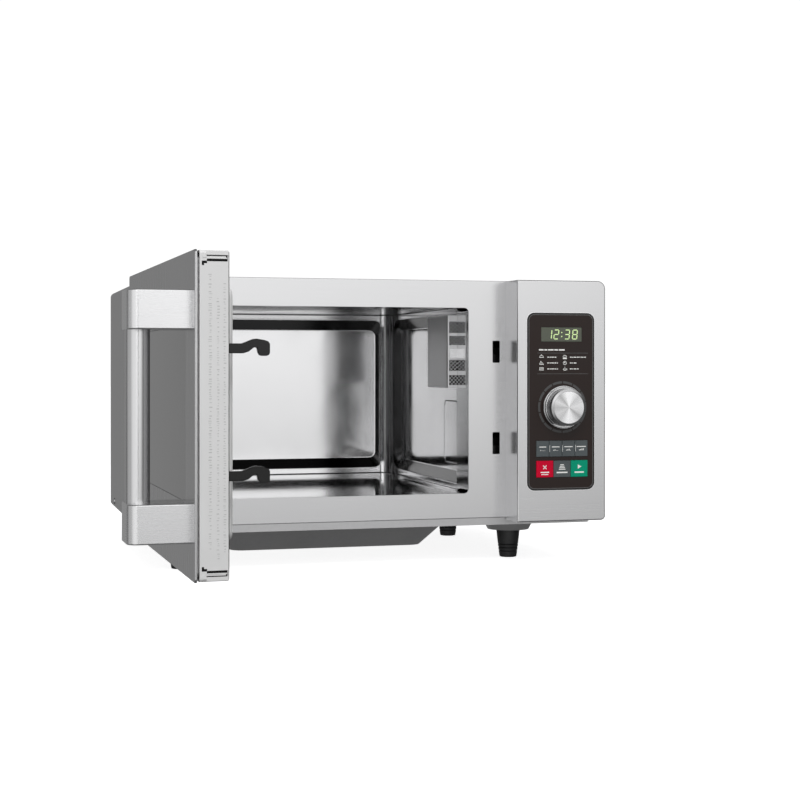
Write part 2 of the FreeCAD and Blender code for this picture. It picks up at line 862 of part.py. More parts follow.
def make_floor():
    """Sealed flat floor plate."""
    seat = floor_seat(-floor_clearance)
    top = block(opening_left - 50, opening_right + 50, -50, cavity_back + 50,
                opening_bottom, opening_bottom + 10)
    below = block(opening_left - 50, opening_right + 50, -50, cavity_back + 50,
                  floor_bottom - 10, floor_bottom)
    return without(seat, [top, below])


def make_well():
    """Round dish under the floor, in which the stirrer turns."""
    centre = Vector(well_centre_x, well_centre_y, 0)
    top = centre + Vector(0, 0, floor_bottom - cavity_sheet)
    bottom = centre + Vector(0, 0, well_bottom)
    dish = rod(well_radius + cavity_sheet, bottom, top)
    space = rod(well_radius, bottom + AXIS_Z * cavity_sheet, top + AXIS_Z)
    coupling = rod(coupling_radius, bottom - AXIS_Z, top)
    return without(dish, [space, coupling])


def guard_window_places():
    """Lower edge of each window in the guard's front."""
    return [guard_bottom + rise for rise in guard_window_rises]


def make_vent_guard():
    """Perforated box over the lamp on the right wall, fitted to the wall's pressing."""
    guard = block(guard_face, cavity_right + panel_depth, guard_front, guard_back,
                  guard_bottom, guard_top)
    edges = [e for e in guard.Edges if e.CenterOfMass.x < guard_face + 0.01]
    guard = guard.makeFillet(guard_edge, edges)
    inner = block(guard_face + guard_sheet, cavity_right + panel_depth + 1,
                  guard_front + guard_sheet, guard_back - guard_sheet,
                  guard_bottom + guard_sheet, guard_top - guard_sheet)
    left = guard_face + (guard_width - guard_window_width) / 2
    windows = [rounded(block(left, left + guard_window_width, guard_front - 1, guard_front + 2,
                             z, z + guard_window_height), AXIS_Y, 0.8)
               for z in guard_window_places()]
    guard = without(guard, [inner] + windows)
    return guard.common(cavity_space(-0.15))


def make_guard_mesh():
    """Perforated strip behind the guard's windows."""
    rises = guard_window_places()
    front = guard_front + guard_sheet
    strip = block(guard_face + guard_sheet + 0.6, cavity_right - 1.2, front, front + 0.5,
                  rises[0] - 2, rises[-1] + guard_window_height + 2)
    left = guard_face + guard_width / 2 - guard_hole_pitch * 1.5
    holes = []
    for z in rises:
        for row in range(3):
            for column in range(4):
                x = left + column * guard_hole_pitch
                height = z + (row + 0.5) * guard_window_height / 3
                holes.append(rod(guard_hole_radius, Vector(x, guard_front, height),
                                 Vector(x, guard_front + 5, height)))
    return without(strip, holes).common(cavity_space(-0.15))


def make_waveguide_cover():
    """Formed plate on the right wall, over the spare port."""
    wall = cavity_right + panel_depth - 0.1
    plate = block(wall - port_sheet, wall, port_front, port_front + port_length,
                  port_bottom, port_bottom + port_height)
    return rounded(plate, AXIS_X, 5.0)


def make_lamp():
    """Lamp bulb with its base, behind the wall."""
    x = compartment_left + duct_gap
    y = (guard_front + guard_back) / 2
    z = (guard_bottom + guard_top) / 2
    barrel = rod(lamp_radius, Vector(x, y, z), Vector(x + lamp_length, y, z))
    rims = [e for e in barrel.Edges if isinstance(e.Curve, Part.Circle)]
    bulb = barrel.makeFillet(lamp_radius / 3, rims)
    base = x + lamp_length + 3
    neck = rod(lamp_neck_radius, Vector(base - 5, y, z), Vector(base, y, z))
    socket = block(base, base + lamp_length, y - 10, y + 10, z - 12, z + 12)
    return [joined([bulb, neck]), socket]


# ---- microwave supply, cooling and stirrer ----

def make_waveguide():
    """Rectangular duct from the magnetron to the stirrer's well."""
    y0 = well_centre_y - guide_width / 2
    y1 = well_centre_y + guide_width / 2
    x0 = well_centre_x - guide_width / 2
    x1 = magnetron_x + guide_past_magnetron
    duct = block(x0, x1, y0, y1, guide_bottom, guide_top)
    space = block(x0 + guide_sheet, x1 - guide_sheet, y0 + guide_sheet, y1 - guide_sheet,
                  guide_bottom + guide_sheet, guide_top - guide_sheet)

    def hole(x, radius, z):
        return rod(radius, Vector(x, well_centre_y, z - 3), Vector(x, well_centre_y, z + 3))
    return without(duct, [space, hole(well_centre_x, antenna_shaft_radius + 1, guide_bottom),
                          hole(well_centre_x, coupling_radius, guide_top),
                          hole(magnetron_x, feed_radius, guide_top)])


def make_stirrer_motor():
    """Geared motor below the waveguide, with a bore for the antenna's shaft."""
    centre = Vector(well_centre_x, well_centre_y, 0)
    bottom = bulge_bottom + stirrer_motor_room
    case = rod(stirrer_motor_radius, centre + AXIS_Z * bottom, centre + AXIS_Z * guide_bottom)
    bore = rod(antenna_shaft_radius + shaft_clearance, centre + AXIS_Z * (guide_bottom - 12),
               centre + AXIS_Z * (guide_bottom + 1))
    return case.cut(bore)


def make_antenna():
    """Stirrer antenna: slotted paddle plate on a hub and shaft."""
    centre = Vector(well_centre_x, well_centre_y, 0)
    low = guide_top + antenna_lift
    high = low + antenna_sheet
    plate = rod(antenna_radius, centre + AXIS_Z * low, centre + AXIS_Z * high)
    flat = block(well_centre_x - antenna_radius, well_centre_x + antenna_radius,
                 well_centre_y + antenna_radius * 0.45, well_centre_y + antenna_radius,
                 low - 1, high + 1)
    slots = []
    for x, y in antenna_slot_places:
        slot = block(x, x + antenna_slot[0], y, y + antenna_slot[1], low - 1, high + 1)
        slots.append(slot.translated(centre))
    hub = rod(antenna_hub_radius, centre + AXIS_Z * (low - 2), centre + AXIS_Z * (high + 2.3))
    shaft = rod(antenna_shaft_radius, centre + AXIS_Z * (guide_bottom - 10),
                centre + AXIS_Z * low)
    return joined([without(plate, [flat] + slots), hub, shaft])


def centred_block(x, y, half, z0, z1):
    """Box round a vertical axis, from its half width and half length."""
    return block(x - half[0], x + half[0], y - half[1], y + half[1], z0, z1)


def make_magnetron():
    """Magnetron: yoke box with cooling fins, and the antenna stub in the waveguide."""
    x, y = magnetron_x, well_centre_y
    base = guide_top + cavity_sheet
    top = base + magnetron_height
    inside = (magnetron_half[0] - magnetron_sheet, magnetron_half[1] + 1)
    yoke = centred_block(x, y, magnetron_half, base, top)
    window = centred_block(x, y, inside, base + magnetron_sheet, top - magnetron_sheet)
    body = rod(magnetron_radius, Vector(x, y, base + 1), Vector(x, y, top - 1))
    stub = rod(magnetron_stub_radius, Vector(x, y, guide_top - 10), Vector(x, y, base + 2))
    fin_half = (inside[0] - 1, magnetron_half[1] - magnetron_sheet)
    fins = []
    for i in range(fin_count):
        z = base + 12 + i * fin_pitch
        fin = centred_block(x, y, fin_half, z, z + fin_sheet)
        fins.append(fin.cut(rod(magnetron_radius + joint_gap, Vector(x, y, z - 1),
                                Vector(x, y, z + 2))))
    filter_box = centred_block(x, y, (magnetron_filter_half, magnetron_filter_half),
                               top + joint_gap, top + magnetron_filter_height)
    return [joined([yoke.cut(window), body, stub]), filter_box] + fins


def make_transformer():
    """Laminated core with two windings round its middle leg."""
    x, y, z = transformer_x, transformer_y, base_top
    core = centred_block(x, y, core_half, z, z + core_height)
    near = core_limb + core_window / 2
    for side in (-1, 1):
        core = core.cut(centred_block(x + side * near, y, (core_window / 2, core_half[1] + 1),
                                      z + 14, z + core_height - 14))
    leg_half = (core_limb + 0.5, core_half[1] + 0.5)
    coils = []
    for low, high in coil_levels:
        coil = rounded(centred_block(x, y, coil_half, z + low, z + high), AXIS_Z, coil_corner)
        coils.append(coil.cut(centred_block(x, y, leg_half, z, z + core_height)))
    return core, coils


def make_capacitor():
    """Oval capacitor can with two terminals."""
    x, y, z = capacitor_x, capacitor_y, base_top
    top = z + capacitor_height
    can = rounded(centred_block(x, y, capacitor_half, z, top), AXIS_Z, capacitor_half[0] - 0.5)
    terminals = [centred_block(x, y + side * terminal_spread, (0.6, 3), top,
                               top + terminal_height) for side in (-1, 1)]
    return joined([can] + terminals)


def make_diode():
    """High-voltage diode beside the capacitor."""
    left = capacitor_x + capacitor_half[0] + diode_gap
    width, length, height = diode_size
    body = block(left, left + width, capacitor_y - length / 2, capacitor_y + length / 2,
                 base_top, base_top + height)
    return rounded(body, AXIS_Y, 2.0)


def make_filter_board():
    """Mains filter board with its fuse and choke, near the cord's bushing."""
    back = rear_panel_front - filter_from_back
    face = back - board_thickness
    bottom = base_bottom + filter_lift
    board = block(filter_left, filter_left + filter_size[0], face, back, bottom,
                  bottom + filter_size[1])
    width, depth, height = choke_size
    choke = block(filter_left + 12, filter_left + 12 + width, face - depth, face,
                  bottom + 12, bottom + 12 + height)
    fuse_x = filter_left + filter_size[0] - 20
    fuse = rod(fuse_radius, Vector(fuse_x, face - fuse_radius, bottom + 12),
               Vector(fuse_x, face - fuse_radius, bottom + 12 + fuse_length))
    fuse_foot = block(fuse_x - 1, fuse_x + 1, face - fuse_radius, face, bottom + 12,
                      bottom + 12 + fuse_length)
    return joined([board, choke, fuse, fuse_foot])


def at_fan(y):
    """Point on the fan's axis."""
    return Vector(fan_x, y, fan_z)


def make_fan_shroud():
    """Square plate with a ring round the fan, and arms to the motor's cup."""
    back = shroud_front + shroud_sheet
    hole_radius = fan_radius + shroud_room
    size = hole_radius + 5
    plate = block(fan_x - size, fan_x + size, shroud_front, back, fan_z - size, fan_z + size)
    ring = rod(hole_radius + shroud_sheet, at_fan(shroud_front), at_fan(rear_panel_front - 2))
    hole = rod(hole_radius, at_fan(shroud_front - 1), at_fan(rear_panel_front))
    arms = []
    for angle in (45, 135, 225, 315):
        arm = block(fan_cup_radius + 2, hole_radius + 1, -3, 3, 0, shroud_sheet)
        arm.rotate(ORIGIN, AXIS_Z, angle)
        arm.rotate(ORIGIN, AXIS_X, -90)
        arms.append(arm.translated(at_fan(shroud_front)))
    cup = pipe(fan_cup_radius + fan_cup_wall, fan_cup_radius, at_fan(shroud_front), at_fan(back))
    return joined([joined([plate, ring]).cut(hole), cup] + arms)


def make_fan_motor():
    """Motor in the shroud's cup, with its bore for the blade's shaft."""
    case = rod(fan_cup_radius - joint_gap, at_fan(shroud_front - 22),
               at_fan(shroud_front + shroud_sheet))
    core = block(fan_x - 26, fan_x + 26, shroud_front - 18, shroud_front - 4,
                 fan_z - 24, fan_z + 24)
    bore = rod(fan_shaft_radius + shaft_clearance, at_fan(shroud_front - 10),
               at_fan(shroud_front + 3))
    return joined([case, core]).cut(bore)


def make_fan_blade():
    """Hub with pitched blades and the shaft that drives it."""
    hub_front = shroud_front + shroud_sheet + shroud_room
    hub = rod(fan_hub_radius, at_fan(hub_front), at_fan(hub_front + fan_hub_length))
    blades = []
    for i in range(fan_blades):
        blade = block(fan_hub_radius - 4, fan_radius, -12, 12, -0.8, 0.8)
        blade = rounded(blade, AXIS_Z, 6.0)
        blade.rotate(ORIGIN, AXIS_X, fan_pitch)
        blade.rotate(ORIGIN, AXIS_Z, i * 360 / fan_blades)
        blade.rotate(ORIGIN, AXIS_X, 90)
        blades.append(blade.translated(at_fan(hub_front + fan_hub_length / 2)))
    shaft = rod(fan_shaft_radius, at_fan(shroud_front - 9), at_fan(hub_front + 2))
    return joined([hub, shaft] + blades)


def make_air_duct():
    """Duct that takes the fan's air forward to the magnetron and lamp."""
    left = compartment_left + duct_gap
    duct = block(left, left + duct_width, duct_front, duct_back, duct_bottom, duct_top)
    space = block(left + duct_wall, left + duct_width - duct_wall, duct_front - 1,
                  duct_back + 1, duct_bottom + duct_wall, duct_top - duct_wall)
    return duct.cut(space)


# ---- hinges ----

def make_hinge(upper):
    """Angle plate on the front frame whose tongue carries a pin over the door's end."""
    near = door_top + hinge_gap if upper else door_bottom - hinge_gap
    far = near + hinge_plate if upper else near - hinge_plate
    tip = near - hinge_leg if upper else near + hinge_leg
    tongue = block(pin_x - hinge_round, pin_x - hinge_round + hinge_width, pin_y - hinge_round, 0,
                   min(near, far), max(near, far))
    tip_edges = [e for e in edges_along(tongue, AXIS_Z) if e.CenterOfMass.y < pin_y]
    tongue = tongue.makeFillet(hinge_round - 0.5, tip_edges)
    leg = block(pin_x - hinge_round, pin_x - hinge_round + hinge_width, -hinge_plate, 0,
                min(far, tip), max(far, tip))
    hole = rod(pin_radius, Vector(pin_x, pin_y, min(near, far) - 1),
               Vector(pin_x, pin_y, max(near, far) + 1))
    return joined([tongue, leg]).cut(hole)


def make_pin(upper):
    """Hinge pin, pressed into its plate and reaching into the door."""
    edge = door_top if upper else door_bottom
    inward = -1 if upper else 1
    outer = edge - inward * (hinge_gap + hinge_plate)
    return rod(pin_radius, Vector(pin_x, pin_y, outer),
               Vector(pin_x, pin_y, edge + inward * pin_reach))


def make_bush(upper):
    """Plastic bush in the door's end that turns on the pin."""
    edge = door_top if upper else door_bottom
    inward = -1 if upper else 1
    start = edge + inward * (liner_inset + liner_wall + 0.1)
    end = start + inward * (pin_reach + 1)
    left = door_left + liner_inset + liner_wall + 0.1
    body = block(left, pin_x + bush_half_width, pin_y - bush_half_width,
                 pin_y + bush_half_width, min(start, end), max(start, end))
    bore = rod(pin_radius + pin_clearance, Vector(pin_x, pin_y, min(start, end) - 1),
               Vector(pin_x, pin_y, max(start, end) + 1))
    return body.cut(bore)


# ---- door, all described closed ----

def opened(shape):
    """A closed door's piece turned back to where the door is stored."""
    turned = shape.copy()
    turned.rotate(Vector(pin_x, pin_y, 0), AXIS_Z, -open_angle)
    return turned


def window_prism(grow, y0, y1):
    """Rounded prism of the door's window, grown all round."""
    return rounded(block(window_left - grow, window_right + grow, y0, y1,
                         window_bottom - grow, window_top + grow),
                   AXIS_Y, window_corner + grow)


def bracket_screw_places():
    """X and Z of the four screws that hold the handle's brackets."""
    places = []
    for z in (bracket_upper_z, bracket_lower_z):
        for x in (tube_x - bracket_post_offset, tube_x + bracket_post_offset):
            places.append((x, z))
    return places


def screw_holes(y0, y1):
    """Clearance holes for the handle's screws."""
    return [rod(bracket_screw_radius + 0.2, Vector(x, y0, z), Vector(x, y1, z))
            for x, z in bracket_screw_places()]


def make_door_skin():
    """Stainless face with folded edges and the window's cut-out."""
    outer = rounded(block(door_left, door_right, door_face, skin_back, door_bottom, door_top),
                    AXIS_Y, skin_corner)
    outer = outer.makeFillet(skin_edge, front_edges(outer))
    inner = rounded(block(door_left + skin_sheet, door_right - skin_sheet,
                          door_face + skin_sheet, skin_back + 1,
                          door_bottom + skin_sheet, door_top - skin_sheet),
                    AXIS_Y, skin_corner - skin_sheet)
    cutters = [inner, window_prism(window_fit, door_face - 1, skin_back)]
    return without(outer, cutters + screw_holes(door_face - 1, skin_back))


def make_door_glass():
    """Dark outer glass, set flush in the skin."""
    return window_prism(0, glass_front, glass_back)


def door_frame_block(y0, y1):
    """Box of the door frame's outline."""
    return block(door_left + door_frame_inset, door_right - door_frame_inset, y0, y1,
                 door_bottom + door_frame_inset, door_top - door_frame_inset)


def make_door_frame():
    """Steel frame behind the skin that carries the glass and the handle's screws."""
    plate = door_frame_block(door_frame_front, door_frame_back)
    pads = rounded(door_frame_block(door_face + skin_sheet, door_frame_front + joint_gap),
                   AXIS_Y, door_frame_inset)
    pads = pads.cut(window_prism(8.0, door_face, door_frame_front + 1))
    middle = window_prism(-6.0, door_face, door_frame_back + 1)
    return without(joined([plate, pads]), [middle] + screw_holes(door_face - 1, liner_face))


def make_door_liner():
    """Light grey tray that closes the door's edges and inner side."""
    x0 = door_left + liner_inset
    x1 = door_right - liner_inset
    z0 = door_bottom + liner_inset
    z1 = door_top - liner_inset
    outer = rounded(block(x0, x1, liner_front, liner_face, z0, z1), AXIS_Y, skin_corner)
    outer = outer.makeFillet(liner_edge, [e for e in outer.Edges
                                          if e.BoundBox.YMin > liner_face - 0.01])
    hollow = block(x0 + liner_wall, x1 - liner_wall, liner_front - 1, liner_face - liner_wall,
                   z0 + liner_wall, z1 - liner_wall)
    half_slot = hook_thickness / 2 + hook_room
    half_arm = hook_arm / 2 + hook_room
    hooks = []
    for z in (hook_upper_z, hook_lower_z):
        hooks.append(block(hook_x - half_slot, hook_x + half_slot, liner_face - liner_wall - 1,
                           liner_face + 1, z - half_arm, z + half_arm + latch_travel))
    pin_holes = rod(pin_radius + 3 * joint_gap, Vector(pin_x, pin_y, door_bottom - 1),
                    Vector(pin_x, pin_y, door_top + 1))
    view = window_prism(-2.0, liner_front, liner_face + 1)
    return without(outer, [hollow, pin_holes, view] + hooks)


def make_choke_panel():
    """Raised inner panel that closes on the front frame round the cavity's mouth."""
    outer = rounded(block(door_left + choke_inset, door_right - choke_inset,
                          liner_face, -seal_gap, door_bottom + choke_end_inset,
                          door_top - choke_end_inset), AXIS_Y, choke_corner)
    rim = [e for e in outer.Edges if e.BoundBox.YMin > -seal_gap - 0.01]
    outer = outer.makeChamfer(choke_chamfer, rim)
    view = window_prism(-8.0, liner_face - 1, 0)
    seat = window_prism(-3.0, -seal_gap - 2.2, 0)
    return without(outer, [view, seat])


def make_inner_window():
    """Clear inner window, set in the raised panel."""
    return window_prism(-3.2, -seal_gap - 2.1, -seal_gap - 0.4)


def make_screen():
    """Perforated screen sheet behind the liner's opening."""
    return window_prism(screen_lap, screen_front, screen_back)


def make_bracket(z):
    """Hollow stainless bracket with two posts for its screws."""
    z0 = z - bracket_height / 2
    z1 = z + bracket_height / 2
    outer = block(bracket_left, bracket_right, bracket_front, door_face, z0, z1)
    front = [e for e in edges_along(outer, AXIS_Z) if e.CenterOfMass.y < bracket_front + 1]
    outer = outer.makeFillet(bracket_corner, front)
    ends = [e for e in outer.Edges if e.BoundBox.ZLength < 0.01 and e.CenterOfMass.y < door_face]
    outer = outer.makeFillet(bracket_edge, [e for e in ends if e.BoundBox.YMin < door_face - 1])
    inner = block(bracket_left + bracket_wall, bracket_right - bracket_wall,
                  bracket_front + bracket_wall, door_face + 1,
                  z0 + bracket_wall, z1 - bracket_wall)
    front = [e for e in edges_along(inner, AXIS_Z) if e.CenterOfMass.y < tube_y]
    inner = inner.makeFillet(bracket_corner - bracket_wall, front)
    posts = []
    holes = []
    for x in (tube_x - bracket_post_offset, tube_x + bracket_post_offset):
        posts.append(rod(bracket_post_radius, Vector(x, bracket_front + bracket_wall - 1, z),
                         Vector(x, door_face, z)))
        holes.append(rod(bracket_screw_radius + shaft_clearance,
                         Vector(x, door_face - bracket_screw_depth - 2, z),
                         Vector(x, door_face + 1, z)))
    towards_middle = -1 if z > tube_middle() else 1
    tube_hole = rod(tube_radius + 0.1,
                    Vector(tube_x, tube_y, z - towards_middle * (tube_reach() + 0.1)),
                    Vector(tube_x, tube_y, z + towards_middle * bracket_height))
    return without(joined([outer.cut(inner)] + posts), holes + [tube_hole])


def tube_middle():
    """Height of the handle's middle."""
    return (bracket_upper_z + bracket_lower_z) / 2


def tube_reach():
    """How far the tube goes past a bracket's middle."""
    return bracket_height / 2 - bracket_wall - tube_end_gap


def make_tube():
    """Handle tube, ending inside the brackets."""
    reach = tube_reach()
    return pipe(tube_radius, tube_radius - tube_wall,
                Vector(tube_x, tube_y, bracket_lower_z - reach),
                Vector(tube_x, tube_y, bracket_upper_z + reach))


def make_handle_screws():
    """Screws from inside the door into the brackets' posts."""
    length = door_frame_back - door_face + bracket_screw_depth
    return [pan_screw(Vector(x, door_frame_back, z), AXIS_Y, bracket_screw_head,
                      screw_head_height, bracket_screw_radius, length)
            for x, z in bracket_screw_places()]


# ---- latch ----

def hook_solid(z):
    """One hook: arm, raised neck and a head that drops behind the catch."""
    face = liner_face + hook_root
    outline = [(slider_back - 1, -hook_arm / 2), (face + 9, -hook_arm / 2),
               (face + 18, hook_arm / 2 - 2.5), (face + 20.6, hook_arm / 2 - 3),
               (face + 21.4, -hook_drop + 1.5), (face + 23, -hook_drop),
               (face + 28.5, -hook_drop), (face + hook_reach, -hook_drop + 2.5),
               (face + hook_reach, hook_rise - 3.5), (face + hook_reach - 1.5, hook_rise - 2),
               (face + 20, hook_rise), (face + 16.5, hook_rise - 0.5),
               (face + 8, hook_arm / 2), (slider_back - 1, hook_arm / 2)]
    points = [Vector(hook_x - hook_thickness / 2, y, z + rise) for y, rise in outline]
    face_shape = Part.Face(Part.makePolygon(points + [points[0]]))
    return face_shape.extrude(AXIS_X * hook_thickness)


def make_latch():
    """Sliding bar with its two hooks."""
    bar = block(hook_x - slider_width / 2, hook_x + slider_width / 2, slider_front,
                slider_back, hook_lower_z - slider_end, hook_upper_z + slider_end)
    return joined([bar, hook_solid(hook_upper_z), hook_solid(hook_lower_z)])


def make_latch_guides():
    """Two guides round the bar and a stop above it for the spring."""
    guides = []
    left = hook_x - slider_width / 2
    right = hook_x + slider_width / 2
    for z in (hook_lower_z + guide_from_hook, hook_upper_z - guide_from_hook):
        low = z - guide_half_height
        high = z + guide_half_height
        body = block(left - guide_wall, right + guide_wall, door_frame_back,
                     slider_back + guide_wall, low, high)
        channel = block(left - guide_room, right + guide_room, slider_front - guide_room,
                        slider_back + guide_room, low - 1, high + 1)
        guides.append(body.cut(channel))
    stop_bottom = hook_upper_z + slider_end + spring_length
    guides.append(block(left, right, door_frame_back, slider_back, stop_bottom,
                        stop_bottom + spring_stop))
    return guides


def make_latch_spring():
    """Coil spring between the bar and its stop, pushing the hooks down."""
    bottom = hook_upper_z + slider_end + spring_wire + 0.1
    height = spring_length - 2 * spring_wire - 0.2
    helix = Part.makeHelix(height / spring_turns, height, spring_radius)
    profile = Part.Wire(Part.Circle(Vector(spring_radius, 0, 0), AXIS_Y, spring_wire).toShape())
    coil = Part.Wire(helix).makePipeShell([profile], True, True)
    coil.translate(Vector(hook_x, (slider_front + slider_back) / 2, bottom))
    return coil


def make_latch_board():
    """Plastic board behind the slots, with the ledges that the hooks catch on."""
    left = latch_board_left
    low = hook_lower_z - latch_board_below
    high = hook_upper_z + latch_board_above
    board = block(left, left + latch_board_sheet, latch_board_front, latch_board_back, low, high)
    foot = block(left, left + latch_board_foot, latch_board_front,
                 latch_board_front + latch_board_sheet, low, high)
    catches = []
    for z in (hook_upper_z, hook_lower_z):
        top = z - catch_below
        catches.append(block(hook_x - latch_slot_width / 2, left + 1, catch_front, catch_back,
                             top - catch_height, top))
    return joined([board, foot] + catches)


def make_switches():
    """Door switches on the latch board, just behind the hooks."""
    right = latch_board_left - 0.1
    middle = right - switch_width / 2
    switches = []
    for z in (hook_upper_z, hook_lower_z, hook_lower_z - switch_spacing):
        body = block(right - switch_width, right, switch_front_y, switch_front_y + switch_length,
                     z - switch_half_height, z + switch_half_height)
        plunger = block(middle - 1.5, middle + 1.5, switch_front_y - 1.5, switch_front_y,
                        z - 1.5, z + 1.5)
        switches.append(joined([body, plunger]))
    return switches


# ---- control housing ----

def make_housing():
    """Stainless box beside the door, rounded at its right corners."""
    def shell(inset, y0, y1):
        box = block(housing_left + inset, frame_right - inset, y0, y1,
                    housing_bottom + inset, housing_top - inset)
        for low, radius in ((False, housing_corner_top), (True, housing_corner_bottom)):
            edges = [e for e in edges_along(box, AXIS_Y)
                     if e.CenterOfMass.x > frame_right - inset - 0.01
                     and (e.CenterOfMass.z < (housing_bottom + housing_top) / 2) == low]
            box = box.makeFillet(radius - inset, edges)
        return box if inset else box.makeFillet(housing_edge, front_edges(box))
    window = rounded(block(overlay_left - window_fit, overlay_right + window_fit,
                           housing_face - 1, housing_face + 5, overlay_bottom - window_fit,
                           overlay_top + window_fit), AXIS_Y, overlay_corner)
    return without(shell(0, housing_face, 0),
                   [shell(housing_sheet, housing_face + housing_sheet, 1), window])


def panel_openings(y0, y1):
    """Openings for the display, the dial's bush and the two rows of keys."""
    display = block(display_left - key_fit, display_right + key_fit, y0, y1,
                    display_bottom - key_fit, display_top + key_fit)
    dial = rod(dial_shaft_radius + encoder_bush_wall + 1, Vector(dial_x, y0, dial_z),
               Vector(dial_x, y1, dial_z))
    rows = []
    for low, high in ((power_row_bottom, power_row_top), (main_row_bottom, main_row_top)):
        rows.append(block(keys_left - key_fit, keys_right + key_fit, y0, y1,
                          low - key_fit, high + key_fit))
    return [display, dial] + rows


def make_overlay():
    """Dark panel sheet that fills the housing's window."""
    sheet = rounded(block(overlay_left, overlay_right, overlay_front, overlay_back,
                          overlay_bottom, overlay_top), AXIS_Y, overlay_corner)
    sheet = sheet.makeFillet(overlay_edge, front_edges(sheet))
    return without(sheet, panel_openings(overlay_front - 1, overlay_back + 1))


def make_carrier():
    """Plastic carrier behind the housing's face, with posts for the board."""
    plate = block(overlay_left - carrier_lap, overlay_right + carrier_lap, overlay_back,
                  carrier_back, overlay_bottom - carrier_lap, overlay_top + carrier_lap)
    plate = without(plate, panel_openings(overlay_back - 1, carrier_back + 1))
    posts = []
    for x in (overlay_left + post_inset, overlay_right - post_inset):
        for z in (overlay_bottom + post_inset, overlay_top - post_inset):
            posts.append(rod(post_radius, Vector(x, carrier_back - 1, z), Vector(x, board_face, z)))
    return joined([plate] + posts)


def make_display_window():
    """Tinted window over the clock display."""
    return block(display_left, display_right, overlay_front + 0.2, carrier_back - 0.5,
                 display_bottom, display_top)


def make_display_module():
    """Clock display on the control board."""
    return block(display_left + 1, display_right - 1, carrier_back + 0.2, board_face,
                 display_bottom + 1, display_top - 1)


def make_control_board():
    """Circuit board on the carrier's posts."""
    return block(overlay_left, overlay_right, board_face, board_rear,
                 overlay_bottom, overlay_top)


def make_relays():
    """Transformer and relays on the back of the control board."""
    blocks = []
    for from_left, from_top, width, height, depth in relay_rows:
        left = overlay_left + from_left - width / 2
        top = overlay_top - from_top + height / 2
        blocks.append(block(left, left + width, board_rear, board_rear + depth,
                            top - height, top))
    return blocks


def key_row(names, low, high):
    """Name and bounds of each key in a row; the keys share the row's width."""
    width = (keys_right - keys_left - key_gap * (len(names) - 1)) / len(names)
    row = []
    for i, name in enumerate(names):
        left = keys_left + i * (width + key_gap)
        row.append((name, left, left + width, low, high))
    return row


def key_places():
    """Every key's name and bounds."""
    power = key_row(["key_power_hold", "key_power_defrost", "key_power_medium",
                     "key_power_medium_high"], power_row_bottom, power_row_top)
    main = key_row(["key_stop", "key_memory", "key_start"], main_row_bottom, main_row_top)
    return power + main


def make_key(left, right, low, high):
    """Key cap with a flange behind the carrier."""
    cap = block(left, right, key_front, key_flange_front, low, high)
    cap = cap.makeFillet(key_edge, front_edges(cap))
    flange = block(left, right, key_flange_front, key_flange_back, low - key_flange,
                   high + key_flange)
    return joined([cap, flange])


def make_key_switches():
    """One small switch on the board behind each key."""
    switches = []
    for name, left, right, low, high in key_places():
        x = (left + right) / 2
        z = (low + high) / 2
        half = key_switch_half_width
        switches.append(block(x - half, x + half, key_switch_front, board_face,
                              z - half, z + half))
    return switches


def make_encoder():
    """Rotary encoder behind the dial, with the bush that its shaft turns in."""
    half = encoder_half_width
    body = block(dial_x - half, dial_x + half, carrier_back + 0.1, board_face, dial_z - half,
                 dial_z + half)
    bush = rod(dial_shaft_radius + encoder_bush_wall, Vector(dial_x, overlay_back, dial_z),
               Vector(dial_x, carrier_back + 1, dial_z))
    bore = rod(dial_shaft_radius + shaft_clearance, Vector(dial_x, overlay_back - 1, dial_z),
               Vector(dial_x, board_face - 1, dial_z))
    return joined([body, bush]).cut(bore)


def make_dial_shaft():
    """Shaft from the encoder to the dial."""
    return rod(dial_shaft_radius, Vector(dial_x, dial_cap_back + 2, dial_z),
               Vector(dial_x, board_face - 1.3, dial_z))


def make_dial_body():
    """Dial's barrel, hollow round a boss for the shaft."""
    def at(y):
        return Vector(dial_x, y, dial_z)
    barrel = rod(dial_radius, at(dial_cap_back), at(skirt_front))
    hollow = pipe(dial_radius - dial_wall, dial_shaft_radius + dial_wall, at(dial_cap_back + 3),
                  at(skirt_front + 1))
    bore = rod(dial_shaft_radius + 0.02, at(dial_cap_back + 2), at(skirt_front + 1))
    return without(barrel, [hollow, bore])


def make_dial_cap():
    """Spun aluminium face of the dial."""
    cap = rod(dial_radius, Vector(dial_x, dial_front, dial_z), Vector(dial_x, dial_cap_back, dial_z))
    return cap.makeChamfer(dial_cap_thickness / 2, front_edges(cap))


def make_dial_skirt():
    """Bright ring round the foot of the dial."""
    ring = pipe(dial_skirt_radius, dial_radius - dial_wall, Vector(dial_x, skirt_front, dial_z),
                Vector(dial_x, skirt_back, dial_z))
    outer = max(front_edges(ring), key=lambda e: e.Length)
    return ring.makeChamfer(1.2, [outer])


# ---- the whole oven ----

